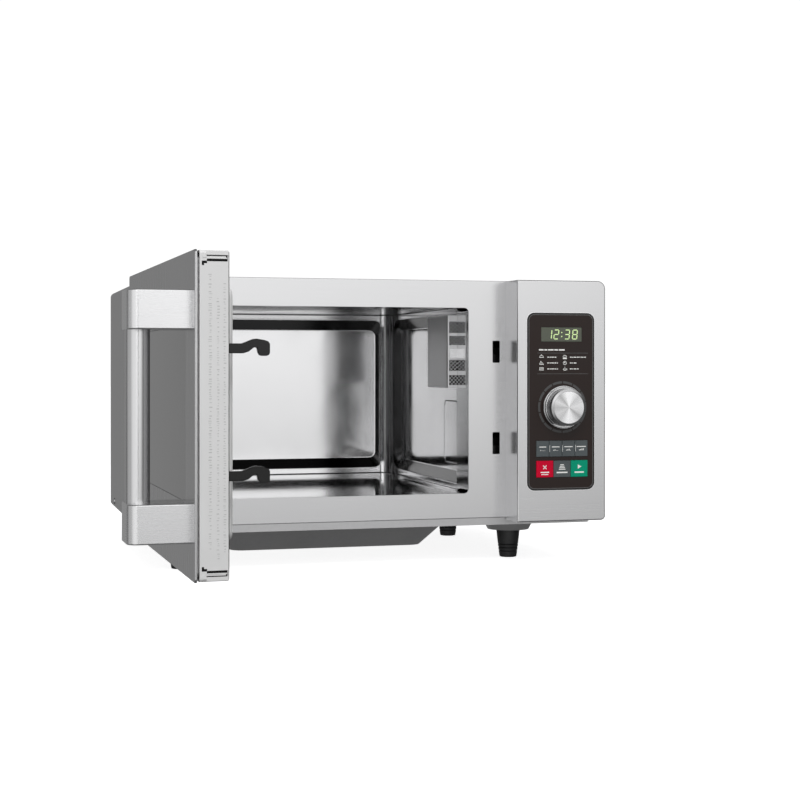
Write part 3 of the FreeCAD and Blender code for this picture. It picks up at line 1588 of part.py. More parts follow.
def cabinet_nodes():
    """Everything that stays with the cabinet; a list is a group of separate solids."""
    screws = make_casing_screws()
    core, coils = make_transformer()
    return {
        "front_frame": make_front_frame(),
        "outer_casing": without(make_casing(), screws),
        "base_pan": without(make_base(), screws),
        "bulge_cover": make_bulge(),
        "rear_panel": without(make_rear_panel(), screws),
        "cord_bushing": make_cord_bushing(),
        "casing_screws": screws + make_foot_screws(),
        "feet": [make_foot(x, y) for x, y in foot_places()],
        "cavity_liner": make_liner(),
        "cavity_floor": make_floor(),
        "stirrer_well": make_well(),
        "vent_guard": [make_vent_guard(), make_guard_mesh()],
        "waveguide_cover": make_waveguide_cover(),
        "cavity_lamp": make_lamp(),
        "waveguide": make_waveguide(),
        "stirrer_motor": make_stirrer_motor(),
        "magnetron": make_magnetron(),
        "transformer_core": core,
        "transformer_coils": coils,
        "hv_capacitor": [make_capacitor(), make_diode()],
        "filter_board": make_filter_board(),
        "fan_shroud": make_fan_shroud(),
        "fan_motor": make_fan_motor(),
        "air_duct": make_air_duct(),
        "door_hinges": [make_hinge(True), make_hinge(False), make_pin(True), make_pin(False)],
        "latch_board": make_latch_board(),
        "door_switches": make_switches(),
        "control_housing": make_housing(),
        "control_overlay": make_overlay(),
        "control_carrier": make_carrier(),
        "display_window": make_display_window(),
        "control_board": [make_control_board(), make_display_module()] + make_relays()
        + make_key_switches(),
        "dial_encoder": make_encoder(),
    }


def door_nodes():
    """Everything that swings with the door, in its stored place."""
    closed = {
        "door_skin": make_door_skin(),
        "door_glass": make_door_glass(),
        "door_frame": [make_door_frame()] + make_latch_guides(),
        "door_liner": make_door_liner(),
        "choke_panel": make_choke_panel(),
        "inner_window": make_inner_window(),
        "door_screen": make_screen(),
        "hinge_bushes": [make_bush(True), make_bush(False)],
        "handle_bracket_upper": make_bracket(bracket_upper_z),
        "handle_bracket_lower": make_bracket(bracket_lower_z),
        "handle_tube": make_tube(),
        "handle_screws": make_handle_screws(),
        "latch_spring": make_latch_spring(),
        "latch_hooks": make_latch(),
    }
    nodes = {}
    for name, shapes in closed.items():
        if isinstance(shapes, list):
            nodes[name] = [opened(shape) for shape in shapes]
        else:
            nodes[name] = opened(shapes)
    return nodes


def control_nodes():
    """The dial, the keys, the fan's blade and the stirrer's antenna."""
    nodes = {
        "dial_shaft": make_dial_shaft(),
        "dial_body": make_dial_body(),
        "dial_cap": make_dial_cap(),
        "dial_skirt": make_dial_skirt(),
        "fan_blade": make_fan_blade(),
        "stirrer_antenna": make_antenna(),
    }
    for name, left, right, low, high in key_places():
        nodes[name] = make_key(left, right, low, high)
    return nodes


def main():
    os.makedirs("parts", exist_ok=True)
    nodes = cabinet_nodes()
    nodes.update(door_nodes())
    nodes.update(control_nodes())
    for name, shapes in nodes.items():
        export(name, shapes)
        count = len(shapes) if isinstance(shapes, list) else len(shapes.Solids)
        print(name, count)
    print(len(nodes), "nodes")


main()
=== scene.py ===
"""Looks of the microwave oven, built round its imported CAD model. Lengths are in metres."""
import json
import math
import random
from itertools import cycle

import bmesh
import bpy
from mathutils import Matrix, Vector


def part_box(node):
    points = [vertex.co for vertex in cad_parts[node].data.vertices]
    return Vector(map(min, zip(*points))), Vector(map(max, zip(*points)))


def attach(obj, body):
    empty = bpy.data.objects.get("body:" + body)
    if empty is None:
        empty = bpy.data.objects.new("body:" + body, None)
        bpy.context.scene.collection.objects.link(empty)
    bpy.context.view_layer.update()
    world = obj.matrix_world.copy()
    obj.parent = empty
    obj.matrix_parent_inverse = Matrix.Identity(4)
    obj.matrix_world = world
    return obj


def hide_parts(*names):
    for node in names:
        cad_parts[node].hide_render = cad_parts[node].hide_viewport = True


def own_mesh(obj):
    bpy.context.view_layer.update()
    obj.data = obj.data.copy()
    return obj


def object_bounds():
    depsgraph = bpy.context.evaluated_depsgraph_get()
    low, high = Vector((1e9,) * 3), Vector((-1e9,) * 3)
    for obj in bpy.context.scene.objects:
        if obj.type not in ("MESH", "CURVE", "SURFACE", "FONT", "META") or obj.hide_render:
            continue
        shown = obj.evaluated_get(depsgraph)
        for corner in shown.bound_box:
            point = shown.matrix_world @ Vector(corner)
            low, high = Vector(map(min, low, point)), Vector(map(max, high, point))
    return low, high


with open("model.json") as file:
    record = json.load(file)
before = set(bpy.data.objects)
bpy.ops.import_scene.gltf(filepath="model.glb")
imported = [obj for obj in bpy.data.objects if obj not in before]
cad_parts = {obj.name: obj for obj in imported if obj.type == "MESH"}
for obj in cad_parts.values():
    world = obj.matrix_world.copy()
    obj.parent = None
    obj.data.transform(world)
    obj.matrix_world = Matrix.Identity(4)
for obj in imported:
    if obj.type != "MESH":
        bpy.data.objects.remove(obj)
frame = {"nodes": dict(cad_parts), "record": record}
cad_low, cad_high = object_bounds()
nodes = frame["nodes"]

MM = 0.001
RIGHT = Vector((1, 0, 0))
BACK = Vector((0, 1, 0))
UP = Vector((0, 0, 1))

# ---- the view ----
CAMERA_PLACE = (-0.43675, -1.62931, 0.22471)
CAMERA_TURN = math.radians(15.9)         # from +Y towards +X
CAMERA_LENS = 69.19                      # in millimetres, on a 36 mm sensor
CAMERA_SENSOR = 36.0
CAMERA_SHIFT = -0.0454

# ---- the studio ----
ROOM_GREY = 0.15
ROOM_WHITE = 1.05            # what the camera itself sees behind the object
FLOOR_REACH = 14.0
FLOOR_GLOW = 0.85
# direction, half angle where it fades out, half angle where it is full, and gain
ROOM_SCREENS = (
    ((0.22, -0.92, 0.40), 40, 12, 1.20),
    ((-0.50, -0.86, 0.12), 42, 16, 0.85),
    ((-1.0, -0.10, 0.10), 36, 10, 0.38),
    ((-0.30, 0.94, 0.10), 45, 15, 0.14),
    ((0.0, -0.1, 1.0), 40, 10, 0.10),
)
# name, place, target, width, height and power
SOFT_BOXES = (
    ("front_box", (-0.1, -1.35, 1.35), (-0.15, -0.2, 0.1), 1.0, 0.6, 12),
    ("top_box", (0.1, 0.1, 2.2), (0, 0.1, 0), 2.4, 1.8, 14),
)
# name, place, target, width, height and tone
DARK_CARDS = (
    ("camera_card", (-0.318, -1.63, 0.30), (0.06, 0.0, 0.30), 0.10, 0.60, 0.02),
)

# ---- colours, linear ----
DIGIT_GREEN = (0.60, 0.78, 0.36)
KEY_RED = (0.62, 0.0, 0.028)
KEY_GREEN = (0.0, 0.31, 0.18)
KEY_GREY = (0.085, 0.10, 0.105)
PRINT_WHITE = (0.78, 0.78, 0.76)
PANEL_BROWN = (0.018, 0.009, 0.007)
# painted dark reflection for the cavity liner's slopes
SLOPE_PAINTED_REFLECTION = (0.03, 0.03, 0.03)

# ---- sizes of the details ----
LINER_BEND = 2.2 * MM        # the bends beside the cavity's pressed panels
PRESS_START = 6.6 * MM       # the panels' slopes lie this far in from the liner's outside
PRESS_END = 6.2 * MM
SINK = 0.05 * MM             # how far a raised detail reaches into the face that it lies on
FOOT_TAPER = 0.714           # a foot's radius at the floor, as a share of that at its top
FOOT_WELL = 6.0 * MM
FOOT_HOLLOW = 0.84           # depth of the screw's well and heights of the grooves, as shares
FOOT_GROOVES = (0.22, 0.34, 0.46)
SCREW_RADIUS = 4.0 * MM
SCREW_HEIGHT = 1.8 * MM
SCREW_LENGTH = 8.0 * MM
HOOK_HALF = 2.25 * MM        # half of a hook's thickness
HOOK_INSET = 16.0 * MM       # from the bar's end to the hook's middle
BAR_DEPTH = 6.0 * MM
OVERLAY_CORNER = 8.5         # in millimetres, as the next one
COVER_CORNER = 7.0
RING_WIRE = 0.55 * MM        # radius of the dial's bright rings


# ---- materials ----

class Paint:
    """A procedural material; its methods add the nodes that vary colour, gloss and relief."""

    def __init__(self, name, color, metallic=0.0, roughness=0.5, **sockets):
        self.name = name
        self.material = bpy.data.materials.new(name)
        self.material.use_nodes = True
        self.tree = self.material.node_tree
        self.shader = self.tree.nodes["Principled BSDF"]
        self.shader.inputs["Base Color"].default_value = (*color, 1.0)
        self.shader.inputs["Metallic"].default_value = metallic
        self.shader.inputs["Roughness"].default_value = roughness
        for socket, value in sockets.items():
            self.shader.inputs[socket.replace("_", " ")].default_value = value

    def node(self, kind, settings=(), **inputs):
        """A node with its settings and its inputs, each a value or another node's output."""
        made = self.tree.nodes.new("ShaderNode" + kind)
        for key, value in dict(settings).items():
            setattr(made, key, value)
        for key, value in inputs.items():
            self.feed(made.inputs[key.replace("_", " ")], value)
        return made

    def feed(self, socket, value):
        """Sets a socket, or links another node's output to it."""
        if isinstance(value, bpy.types.NodeSocket):
            self.tree.links.new(value, socket)
        else:
            socket.default_value = value

    def place(self, scale, centre=(0, 0, 0)):
        """The piece's own coordinates, scaled about a centre."""
        own = self.node("TexCoord").outputs["Object"]
        shift = [-c * s for c, s in zip(centre, scale)]
        return self.node("Mapping", Vector=own, Scale=scale, Location=shift).outputs["Vector"]

    def noise(self, scale, detail=3.0):
        """Cloudy pattern of about 0 to 1, with its own scale along each axis."""
        return self.node("TexNoise", Vector=self.place(scale), Scale=1.0,
                         Detail=detail).outputs["Fac"]

    def cells(self, scale, even=False, feature="F1"):
        """Distance in a pattern of cells; even cells sit on a square grid."""
        return self.node("TexVoronoi", {"feature": feature}, Vector=self.place(scale), Scale=1.0,
                         Randomness=0.0 if even else 1.0).outputs["Distance"]

    def rings(self, centre, scale, direction):
        """Fine turned grooves round an axis."""
        wave = self.node("TexWave", {"wave_type": "RINGS", "rings_direction": direction},
                         Vector=self.place((1, 1, 1), centre), Scale=scale, Distortion=0.6)
        return wave.outputs["Fac"]

    def spread(self, value, low, high, start=0.3, end=0.7):
        """A pattern's middle range, stretched between two values."""
        made = self.node("MapRange", Value=value)
        for key, number in zip(("From Min", "From Max", "To Min", "To Max"),
                               (start, end, low, high)):
            made.inputs[key].default_value = number
        return made.outputs["Result"]

    def blend(self, a, b, share=0.5):
        """Mix of two patterns."""
        made = self.node("Mix", {"data_type": "FLOAT"})
        made.inputs[0].default_value = share
        self.tree.links.new(a, made.inputs[2])
        self.tree.links.new(b, made.inputs[3])
        return made.outputs[0]

    def combine(self, operation, first, second, clamp=False):
        """One number from two patterns."""
        made = self.node("Math", {"operation": operation, "use_clamp": clamp})
        self.feed(made.inputs[0], first)
        self.feed(made.inputs[1], second)
        return made.outputs["Value"]

    def mix(self, share, first, second):
        """Colour between two, each a tone or another node's output."""
        made = self.node("Mix", {"data_type": "RGBA"})
        for socket, value in ((0, share), (6, first), (7, second)):
            self.feed(made.inputs[socket], value)
        return made.outputs[2]

    def color(self, pattern, dark, light, start=0.3, end=0.7):
        """Base colour between two tones."""
        share = self.spread(pattern, 0.0, 1.0, start, end)
        self.feed(self.shader.inputs["Base Color"], self.mix(share, (*dark, 1.0), (*light, 1.0)))
        return self

    def gloss(self, pattern, low, high):
        """Roughness between two values."""
        self.feed(self.shader.inputs["Roughness"], self.spread(pattern, low, high))
        return self

    def relief(self, pattern, depth, strength=1.0):
        """Bump of a depth in metres, on top of any relief made before."""
        made = self.node("Bump", Height=pattern, Distance=depth, Strength=strength)
        before = self.shader.inputs["Normal"]
        if before.is_linked:
            self.tree.links.new(before.links[0].from_socket, made.inputs["Normal"])
        self.tree.links.new(made.outputs["Normal"], before)
        return self


STROKES = {"X": (9, 1400, 1400), "Y": (1400, 9, 1400), "Z": (1400, 1400, 9)}


def grey(value):
    """A grey with the faint blue of steel."""
    return (value, value, value * 1.01)


def brushed(name, tone, low, high, axis, relief=5.0e-6):
    """Brushed steel: long fine strokes along an axis, broad smudges and soft wear."""
    paint = Paint(name, grey(tone), metallic=1.0)
    strokes = paint.noise(STROKES[axis], 4.0)
    broad = paint.noise((7, 7, 7), 2.0)
    both = paint.blend(strokes, broad, 0.35)
    return paint.color(both, grey(tone * 0.92), grey(tone)).gloss(both, low, high).relief(
        strokes, relief)


def satin(name, tone, low, high, ripple=4.0e-5):
    """Rolled sheet: faint waves from pressing, and cloudy finger marks."""
    paint = Paint(name, grey(tone), metallic=1.0)
    clouds = paint.noise((14, 14, 14), 4.0)
    fine = paint.noise((260, 260, 260), 2.0)
    both = paint.blend(clouds, fine, 0.3)
    return paint.color(both, grey(tone * 0.86), grey(tone)).gloss(both, low, high).relief(
        paint.noise((9, 9, 9), 1.0), ripple * 10, 0.25)


def pressed(name, tone):
    """Mirror-bright pressed liner: a painted dark reflection on the slopes round its panels, left
    off their bright bends.
    """
    paint = Paint(name, grey(tone), metallic=1.0)
    node = paint.node
    flat = node("NewGeometry").outputs["True Normal"]
    bent = node("Bevel", {"samples": 8}, Radius=LINER_BEND).outputs["Normal"]
    facing = node("VectorMath", {"operation": "DOT_PRODUCT"})
    paint.feed(facing.inputs[0], flat)
    paint.feed(facing.inputs[1], bent)
    bend = paint.spread(facing.outputs["Value"], 1.0, 0.0, 0.93, 0.995)
    size = node("VectorMath", {"operation": "ABSOLUTE"}, Vector=flat).outputs["Vector"]
    sides = node("SeparateXYZ", Vector=size).outputs
    largest = paint.combine("MAXIMUM", sides["X"], sides["Y"])
    largest = paint.combine("MAXIMUM", largest, sides["Z"])
    slope = paint.spread(largest, 1.0, 0.0, 0.95, 0.985)
    own = node("SeparateXYZ", Vector=node("TexCoord").outputs["Object"]).outputs
    low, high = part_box("cavity_liner")
    outside = paint.spread(own["Y"], 0.0, 1.0, high.y - PRESS_START, high.y - PRESS_END)
    for start, end in ((high.x - PRESS_START, high.x - PRESS_END),
                       (low.x + PRESS_START, low.x + PRESS_END)):
        outside = paint.combine("MAXIMUM", outside, paint.spread(own["X"], 0.0, 1.0, start, end))
    # painted dark reflection on the slopes, kept off the bends
    painted_slope_reflection = paint.combine("SUBTRACT", paint.combine("MULTIPLY", slope, outside), bend, clamp=True)
    clouds = paint.noise((14, 14, 14), 4.0)
    steel = paint.mix(clouds, (*grey(tone * 0.88), 1.0), (*grey(tone), 1.0))
    paint.feed(paint.shader.inputs["Base Color"], paint.mix(painted_slope_reflection, steel, (*SLOPE_PAINTED_REFLECTION, 1.0)))
    paint.feed(paint.shader.inputs["Normal"], bent)
    return paint.gloss(clouds, 0.07, 0.15).relief(paint.noise((9, 9, 9), 1.0), 4.0e-4, 0.25)


def galvanised(name, tone, rough):
    """Zinc-coated sheet with its crystal spangle."""
    paint = Paint(name, grey(tone), metallic=1.0)
    spangle = paint.cells((110, 110, 110))
    return paint.color(spangle, grey(tone * 0.72), grey(tone), 0.1, 0.8).gloss(
        spangle, rough, rough + 0.18).relief(spangle, 2.0e-5, 0.5)


def moulded(name, color, roughness, grain=1.6e-5, shade=0.8, **sockets):
    """Moulded plastic with a fine grain and slightly uneven colour."""
    paint = Paint(name, color, roughness=roughness, **sockets)
    grains = paint.noise((2600, 2600, 2600), 2.0)
    clouds = paint.noise((30, 30, 30), 3.0)
    both = paint.blend(clouds, grains, 0.3)
    return paint.color(both, [c * shade for c in color], color).gloss(
        both, roughness * 0.85, min(1.0, roughness * 1.15)).relief(grains, grain)


def screen_sheet(name):
    """Dark steel with rows of small punched holes, painted black as the shade seen through them."""
    paint = Paint(name, grey(0.3), metallic=1.0)
    holes = paint.cells((420, 1, 420), even=True)
    # the holes are painted shade
    return paint.color(holes, (0.004, 0.004, 0.004), grey(0.34), 0.27, 0.33).gloss(
        paint.noise((60, 60, 60)), 0.3, 0.5).relief(holes, 1.5e-4, 0.4)


def spun(name, node_name, tone):
    """Turned metal face: fine rings, and two pairs of bright fans painted into its colour as
    highlights.
    """
    low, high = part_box(node_name)
    centre = (low + high) / 2
    paint = Paint(name, grey(tone), metallic=1.0)
    grooves = paint.rings(centre, 260.0, "Y")
    own = paint.node("TexCoord").outputs["Object"]
    flat = paint.node("Mapping", Vector=own, Rotation=(math.radians(90), 0, 0))
    flat.inputs["Location"].default_value = (-centre.x, centre.z, centre.y)
    turn = paint.node("TexGradient", {"gradient_type": "RADIAL"},
                      Vector=flat.outputs["Vector"]).outputs["Fac"]
    # bright and dark fans painted into the colour, as highlights of the rings
    painted_fans = paint.node("ValToRGB", Fac=turn)
    fan_highlight_stops = ((0.0, 0.55), (0.07, 0.80), (0.14, 0.50), (0.22, 1.0), (0.28, 1.0), (0.37, 0.66),
             (0.47, 0.82), (0.56, 0.72), (0.61, 0.45), (0.70, 0.9), (0.77, 1.0), (0.86, 0.62),
             (0.93, 0.72), (1.0, 0.55))
    elements = painted_fans.color_ramp.elements
    while len(elements) < len(fan_highlight_stops):
        elements.new(0.5)
    for element, (place, value) in zip(elements, fan_highlight_stops):
        element.position = place
        element.color = (*grey(value * tone), 1.0)
    paint.tree.links.new(painted_fans.outputs["Color"], paint.shader.inputs["Base Color"])
    return paint.gloss(grooves, 0.18, 0.30).relief(grooves, 6.0e-6)


def wound(name, color):
    """Enamelled wire: layers of turns round the coil."""
    paint = Paint(name, color, metallic=0.9, roughness=0.3)
    turns = paint.node("TexWave", {"bands_direction": "Z"}, Vector=paint.place((1, 1, 1)),
                       Scale=190.0, Distortion=0.3).outputs["Fac"]
    return paint.color(turns, [c * 0.4 for c in color], color).gloss(
        paint.noise((200, 200, 200)), 0.25, 0.45).relief(turns, 3.0e-4)


def laminated(name, tone):
    """Stacked core sheets with varnish and a little rust."""
    paint = Paint(name, grey(tone), metallic=0.7, roughness=0.5)
    sheets = paint.node("TexWave", {"bands_direction": "Y"}, Vector=paint.place((1, 1, 1)),
                        Scale=310.0, Distortion=0.2).outputs["Fac"]
    rust = paint.noise((40, 40, 40), 5.0)
    return paint.color(paint.blend(sheets, rust, 0.6), (tone * 0.5, tone * 0.35, tone * 0.25),
                       grey(tone)).gloss(rust, 0.4, 0.75).relief(sheets, 2.0e-4)


def board(name):
    """Circuit board: green mask over a maze of tracks."""
    paint = Paint(name, (0.01, 0.14, 0.05), roughness=0.35)
    tracks = paint.node("TexBrick", Vector=paint.place((90, 90, 90)), Scale=5.0,
                        Mortar_Size=0.06).outputs["Fac"]
    clouds = paint.noise((50, 50, 50))
    return paint.color(tracks, (0.008, 0.10, 0.035), (0.03, 0.26, 0.09), 0.0, 1.0).gloss(
        clouds, 0.3, 0.45).relief(tracks, 4.0e-5)


def glass(name, color, roughness, **sockets):
    """Glass with faint smears on its surface."""
    paint = Paint(name, color, roughness=roughness, **sockets)
    smears = paint.noise((22, 60, 22), 4.0)
    return paint.color(smears, [c * 0.9 for c in color], color).gloss(
        smears, roughness, roughness + 0.06).relief(paint.noise((5, 5, 5), 1.0), 2.0e-4, 0.1)


def printed(name, color, glow=0.0):
    """Screen-printed ink: slightly uneven and matt."""
    paint = Paint(name, color, roughness=0.55, Emission_Color=(*color, 1.0),
                  Emission_Strength=glow)
    mottle = paint.noise((1500, 1500, 1500), 2.0)
    return paint.color(mottle, [c * 0.82 for c in color], color).gloss(
        mottle, 0.45, 0.65).relief(mottle, 4.0e-6)


PAINTS = {paint.name: paint for paint in (
    brushed("front_steel", 0.68, 0.21, 0.28, "X"),
    brushed("casing_steel", 0.60, 0.30, 0.42, "Y"),
    brushed("door_steel", 0.54, 0.20, 0.30, "Z"),
    brushed("handle_steel", 0.80, 0.22, 0.31, "X", 6.0e-6),
    brushed("tube_steel", 0.74, 0.20, 0.30, "Z", 6.0e-6),
    pressed("cavity_steel", 0.76),
    satin("floor_steel", 0.60, 0.05, 0.10, 1.0e-5),
    brushed("guard_steel", 0.66, 0.34, 0.44, "Z"),
    galvanised("zinc", 0.52, 0.34),
    satin("base_zinc", 0.62, 0.30, 0.42),
    galvanised("aluminium", 0.70, 0.40),
    satin("screw_steel", 0.62, 0.20, 0.32),
    screen_sheet("screen"),
    spun("dial_cap", "dial_cap", 0.98),
    satin("dial_bevel", 0.46, 0.16, 0.26, 1.0e-5),
    satin("bright_ring", 0.95, 0.10, 0.18, 1.0e-5),
    satin("dial_chrome", 0.55, 0.05, 0.12, 1.0e-5),
    satin("dial_barrel", 0.22, 0.14, 0.22, 1.0e-5),
    moulded("panel_dark", PANEL_BROWN, 0.34, 3.0e-6, Specular_IOR_Level=0.3),
    glass("display_lens", (0.085, 0.095, 0.07), 0.2, Specular_IOR_Level=0.4),
    moulded("key_grey", KEY_GREY, 0.42, Specular_IOR_Level=0.3),
    moulded("key_red", KEY_RED, 0.40, Specular_IOR_Level=0.12),
    moulded("key_green", KEY_GREEN, 0.40, Specular_IOR_Level=0.12),
    moulded("black_plastic", (0.004, 0.004, 0.004), 0.22, Specular_IOR_Level=0.35),
    moulded("rubber", (0.014, 0.014, 0.015), 0.50, 4.0e-5),
    moulded("white_plastic", (0.72, 0.71, 0.68), 0.45),
    moulded("liner_plastic", (0.68, 0.68, 0.68), 0.42, shade=0.94),
    # darker liner plastic: painted shade on the raised dashes
    moulded("liner_painted_shade", (0.50, 0.50, 0.50), 0.5, shade=0.9),
    # near-black: painted shade in slots, windows and along an edge
    moulded("painted_shade_black", (0.006, 0.006, 0.006), 0.6, Specular_IOR_Level=0.2),
    glass("door_glass", (0.055, 0.056, 0.058), 0.05, IOR=1.9, Coat_Weight=0.6,
          Coat_Roughness=0.03),
    glass("clear_glass", (0.85, 0.88, 0.87), 0.02, Transmission_Weight=1.0, IOR=1.45),
    glass("lamp_glass", (1.0, 0.95, 0.85), 0.05, Transmission_Weight=0.9),
    wound("copper", (0.62, 0.22, 0.09)),
    laminated("core", 0.32),
    board("board"),
    # the white print glows a little: painted light, as it is no lamp
    printed("white_print_painted_glow", PRINT_WHITE, 0.15),
    # grey print, which round the overlay also draws a painted highlight line
    printed("grey_print_and_highlight", grey(0.13)),
    printed("print_scale", grey(0.07)),
    moulded("rim_dark", (0.004, 0.004, 0.004), 0.2),
    # bright steel; round the overlay and the waveguide's cover it draws painted highlights
    satin("rim_bright", 0.92, 0.2, 0.3),
    printed("digits", DIGIT_GREEN, 0.42),
)}

NODE_PAINTS = {
    "front_steel": ["front_frame", "control_housing"],
    "casing_steel": ["outer_casing", "rear_panel"],
    "door_steel": ["door_skin"],
    "handle_steel": ["handle_bracket_upper", "handle_bracket_lower"],
    "tube_steel": ["handle_tube"],
    "cavity_steel": ["cavity_liner", "waveguide_cover"],
    "floor_steel": ["cavity_floor"],
    "guard_steel": ["vent_guard"],
    "zinc": ["door_frame", "waveguide", "stirrer_well", "magnetron", "door_hinges"],
    "base_zinc": ["base_pan", "bulge_cover"],
    "aluminium": ["stirrer_antenna", "hv_capacitor", "fan_motor"],
    "screw_steel": ["handle_screws", "latch_spring", "dial_shaft"],
    "screen": ["door_screen"],
    "dial_cap": ["dial_cap"],
    "dial_chrome": ["dial_skirt"],
    "dial_barrel": ["dial_body"],
    "panel_dark": ["control_overlay", "control_carrier"],
    "display_lens": ["display_window"],
    "key_grey": ["key_power_hold", "key_power_defrost", "key_power_medium",
                 "key_power_medium_high", "key_memory"],
    "key_red": ["key_stop"],
    "key_green": ["key_start"],
    "black_plastic": ["latch_hooks", "cord_bushing", "door_switches", "fan_blade", "air_duct",
                      "dial_encoder", "latch_board", "fan_shroud", "stirrer_motor"],
    "rubber": ["feet"],
    "white_plastic": ["hinge_bushes"],
    "liner_plastic": ["door_liner", "choke_panel"],
    "door_glass": ["door_glass"],
    "clear_glass": ["inner_window"],
    "lamp_glass": ["cavity_lamp"],
    "copper": ["transformer_coils"],
    "core": ["transformer_core"],
    "board": ["control_board", "filter_board"],
}


def paint_nodes():
    """Gives every CAD node its material."""
    for name, members in NODE_PAINTS.items():
        for node in members:
            slots = nodes[node].material_slots
            for slot in slots:
                slot.material = PAINTS[name].material
            if not slots:
                nodes[node].data.materials.append(PAINTS[name].material)


# ---- mesh helpers ----

def islands(node):
    """Lowest and highest corner of each separate solid in a CAD node."""
    bm = bmesh.new()
    bm.from_mesh(nodes[node].data)
    bmesh.ops.remove_doubles(bm, verts=bm.verts, dist=1e-6)
    left = set(bm.verts)
    found = []
    while left:
        reached = [left.pop()]
        low = reached[0].co.copy()
        high = reached[0].co.copy()
        while reached:
            vert = reached.pop()
            low = Vector(map(min, low, vert.co))
            high = Vector(map(max, high, vert.co))
            for edge in vert.link_edges:
                other = edge.other_vert(vert)
                if other in left:
                    left.remove(other)
                    reached.append(other)
        found.append((low, high))
    bm.free()
    return sorted(found, key=lambda pair: tuple(round(x, 4) for x in pair[0]))


def axes(origin, right, up):
    """Place whose first axis points right, whose second points up and whose third points out."""
    right = Vector(right).normalized()
    up = Vector(up).normalized()
    out = right.cross(up)
    made = Matrix((right, up, out)).transposed().to_4x4()
    made.translation = Vector(origin)
    return made


def to_front(origin):
    """Place on a face that looks to the front."""
    return axes(origin, RIGHT, UP)


def slab(bm, outline, place, low, high):
    """Closed prism of an outline, between two levels along the place's third axis."""
    rings = [[bm.verts.new(place @ Vector((x, y, level))) for x, y in outline]
             for level in (low, high)]
    bm.faces.new(list(reversed(rings[0])))
    bm.faces.new(rings[1])
    for i, vert in enumerate(rings[0]):
        after = (i + 1) % len(outline)
        bm.faces.new((vert, rings[0][after], rings[1][after], rings[1][i]))


def lathe(bm, profile, place, segments=48):
    """Turned solid: profile points are radius and height, from the axis to the axis."""
    rings = []
    for radius, height in profile:
        if radius == 0:
            rings.append([bm.verts.new(place @ Vector((0, 0, height)))])
            continue
        turns = [2 * math.pi * i / segments for i in range(segments)]
        rings.append([bm.verts.new(place @ Vector((radius * math.cos(a), radius * math.sin(a),
                                                   height))) for a in turns])
    for first, second in zip(rings, rings[1:]):
        for i in range(segments):
            j = (i + 1) % segments
            corners = []
            for vert in (first[i % len(first)], first[j % len(first)],
                         second[j % len(second)], second[i % len(second)]):
                if vert not in corners:
                    corners.append(vert)
            bm.faces.new(corners)


def closed_lathe(bm, profile, place, segments=96):
    """Turned ring: the profile is a closed loop away from the axis."""
    loops = []
    for i in range(segments):
        turn = 2 * math.pi * i / segments
        loops.append([bm.verts.new(place @ Vector((r * math.cos(turn), r * math.sin(turn), h)))
                      for r, h in profile])
    for i, loop in enumerate(loops):
        after = loops[(i + 1) % segments]
        for j in range(len(profile)):
            k = (j + 1) % len(profile)
            bm.faces.new((loop[j], loop[k], after[k], after[j]))


def band(radius, width, start, end, steps=12):
    """Outline of part of a ring, between two angles in degrees."""
    angles = [math.radians(start + (end - start) * i / steps) for i in range(steps + 1)]
    outer = [((radius + width / 2) * math.cos(a), (radius + width / 2) * math.sin(a))
             for a in angles]
    inner = [((radius - width / 2) * math.cos(a), (radius - width / 2) * math.sin(a))
             for a in reversed(angles)]
    return outer + inner


def box_outline(x, y, width, height):
    """Rectangle from its middle."""
    return [(x - width / 2, y - height / 2), (x + width / 2, y - height / 2),
            (x + width / 2, y + height / 2), (x - width / 2, y + height / 2)]


def stroke(start, end, width):
    """Bar from one point to another."""
    along = (Vector(end) - Vector(start)).normalized() * (width / 2)
    side = Vector((-along.y, along.x))
    corners = (Vector(start) - side, Vector(end) - side, Vector(end) + side,
               Vector(start) + side)
    return [tuple(c) for c in corners]


def moved(outline, x, y):
    """An outline carried along."""
    return [(a + x, b + y) for a, b in outline]


def in_mm(outline):
    """An outline given in millimetres, in metres."""
    return [(x * MM, y * MM) for x, y in outline]


def add_object(name, data):
    """An object of the scene with its data."""
    made = bpy.data.objects.new(name, data)
    bpy.context.scene.collection.objects.link(made)
    return made


def add_piece(name, bm, body, paint, sharp=35.0):
    """Makes the mesh an object that rides on a body."""
    bmesh.ops.recalc_face_normals(bm, faces=bm.faces)
    mesh = bpy.data.meshes.new(name)
    bm.to_mesh(mesh)
    bm.free()
    mesh.materials.append(PAINTS[paint].material)
    for face in mesh.polygons:
        face.use_smooth = True
    mesh.set_sharp_from_angle(angle=math.radians(sharp))
    piece = add_object(name, mesh)
    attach(piece, body)
    return piece


def soften(piece, width, segments=2, angle=30.0):
    """Rounds a piece's sharp edges."""
    bevel = piece.modifiers.new("soft_edges", "BEVEL")
    bevel.width = width
    bevel.segments = segments
    bevel.limit_method = "ANGLE"
    bevel.angle_limit = math.radians(angle)
    bevel.harden_normals = False


# ---- feet and screws ----

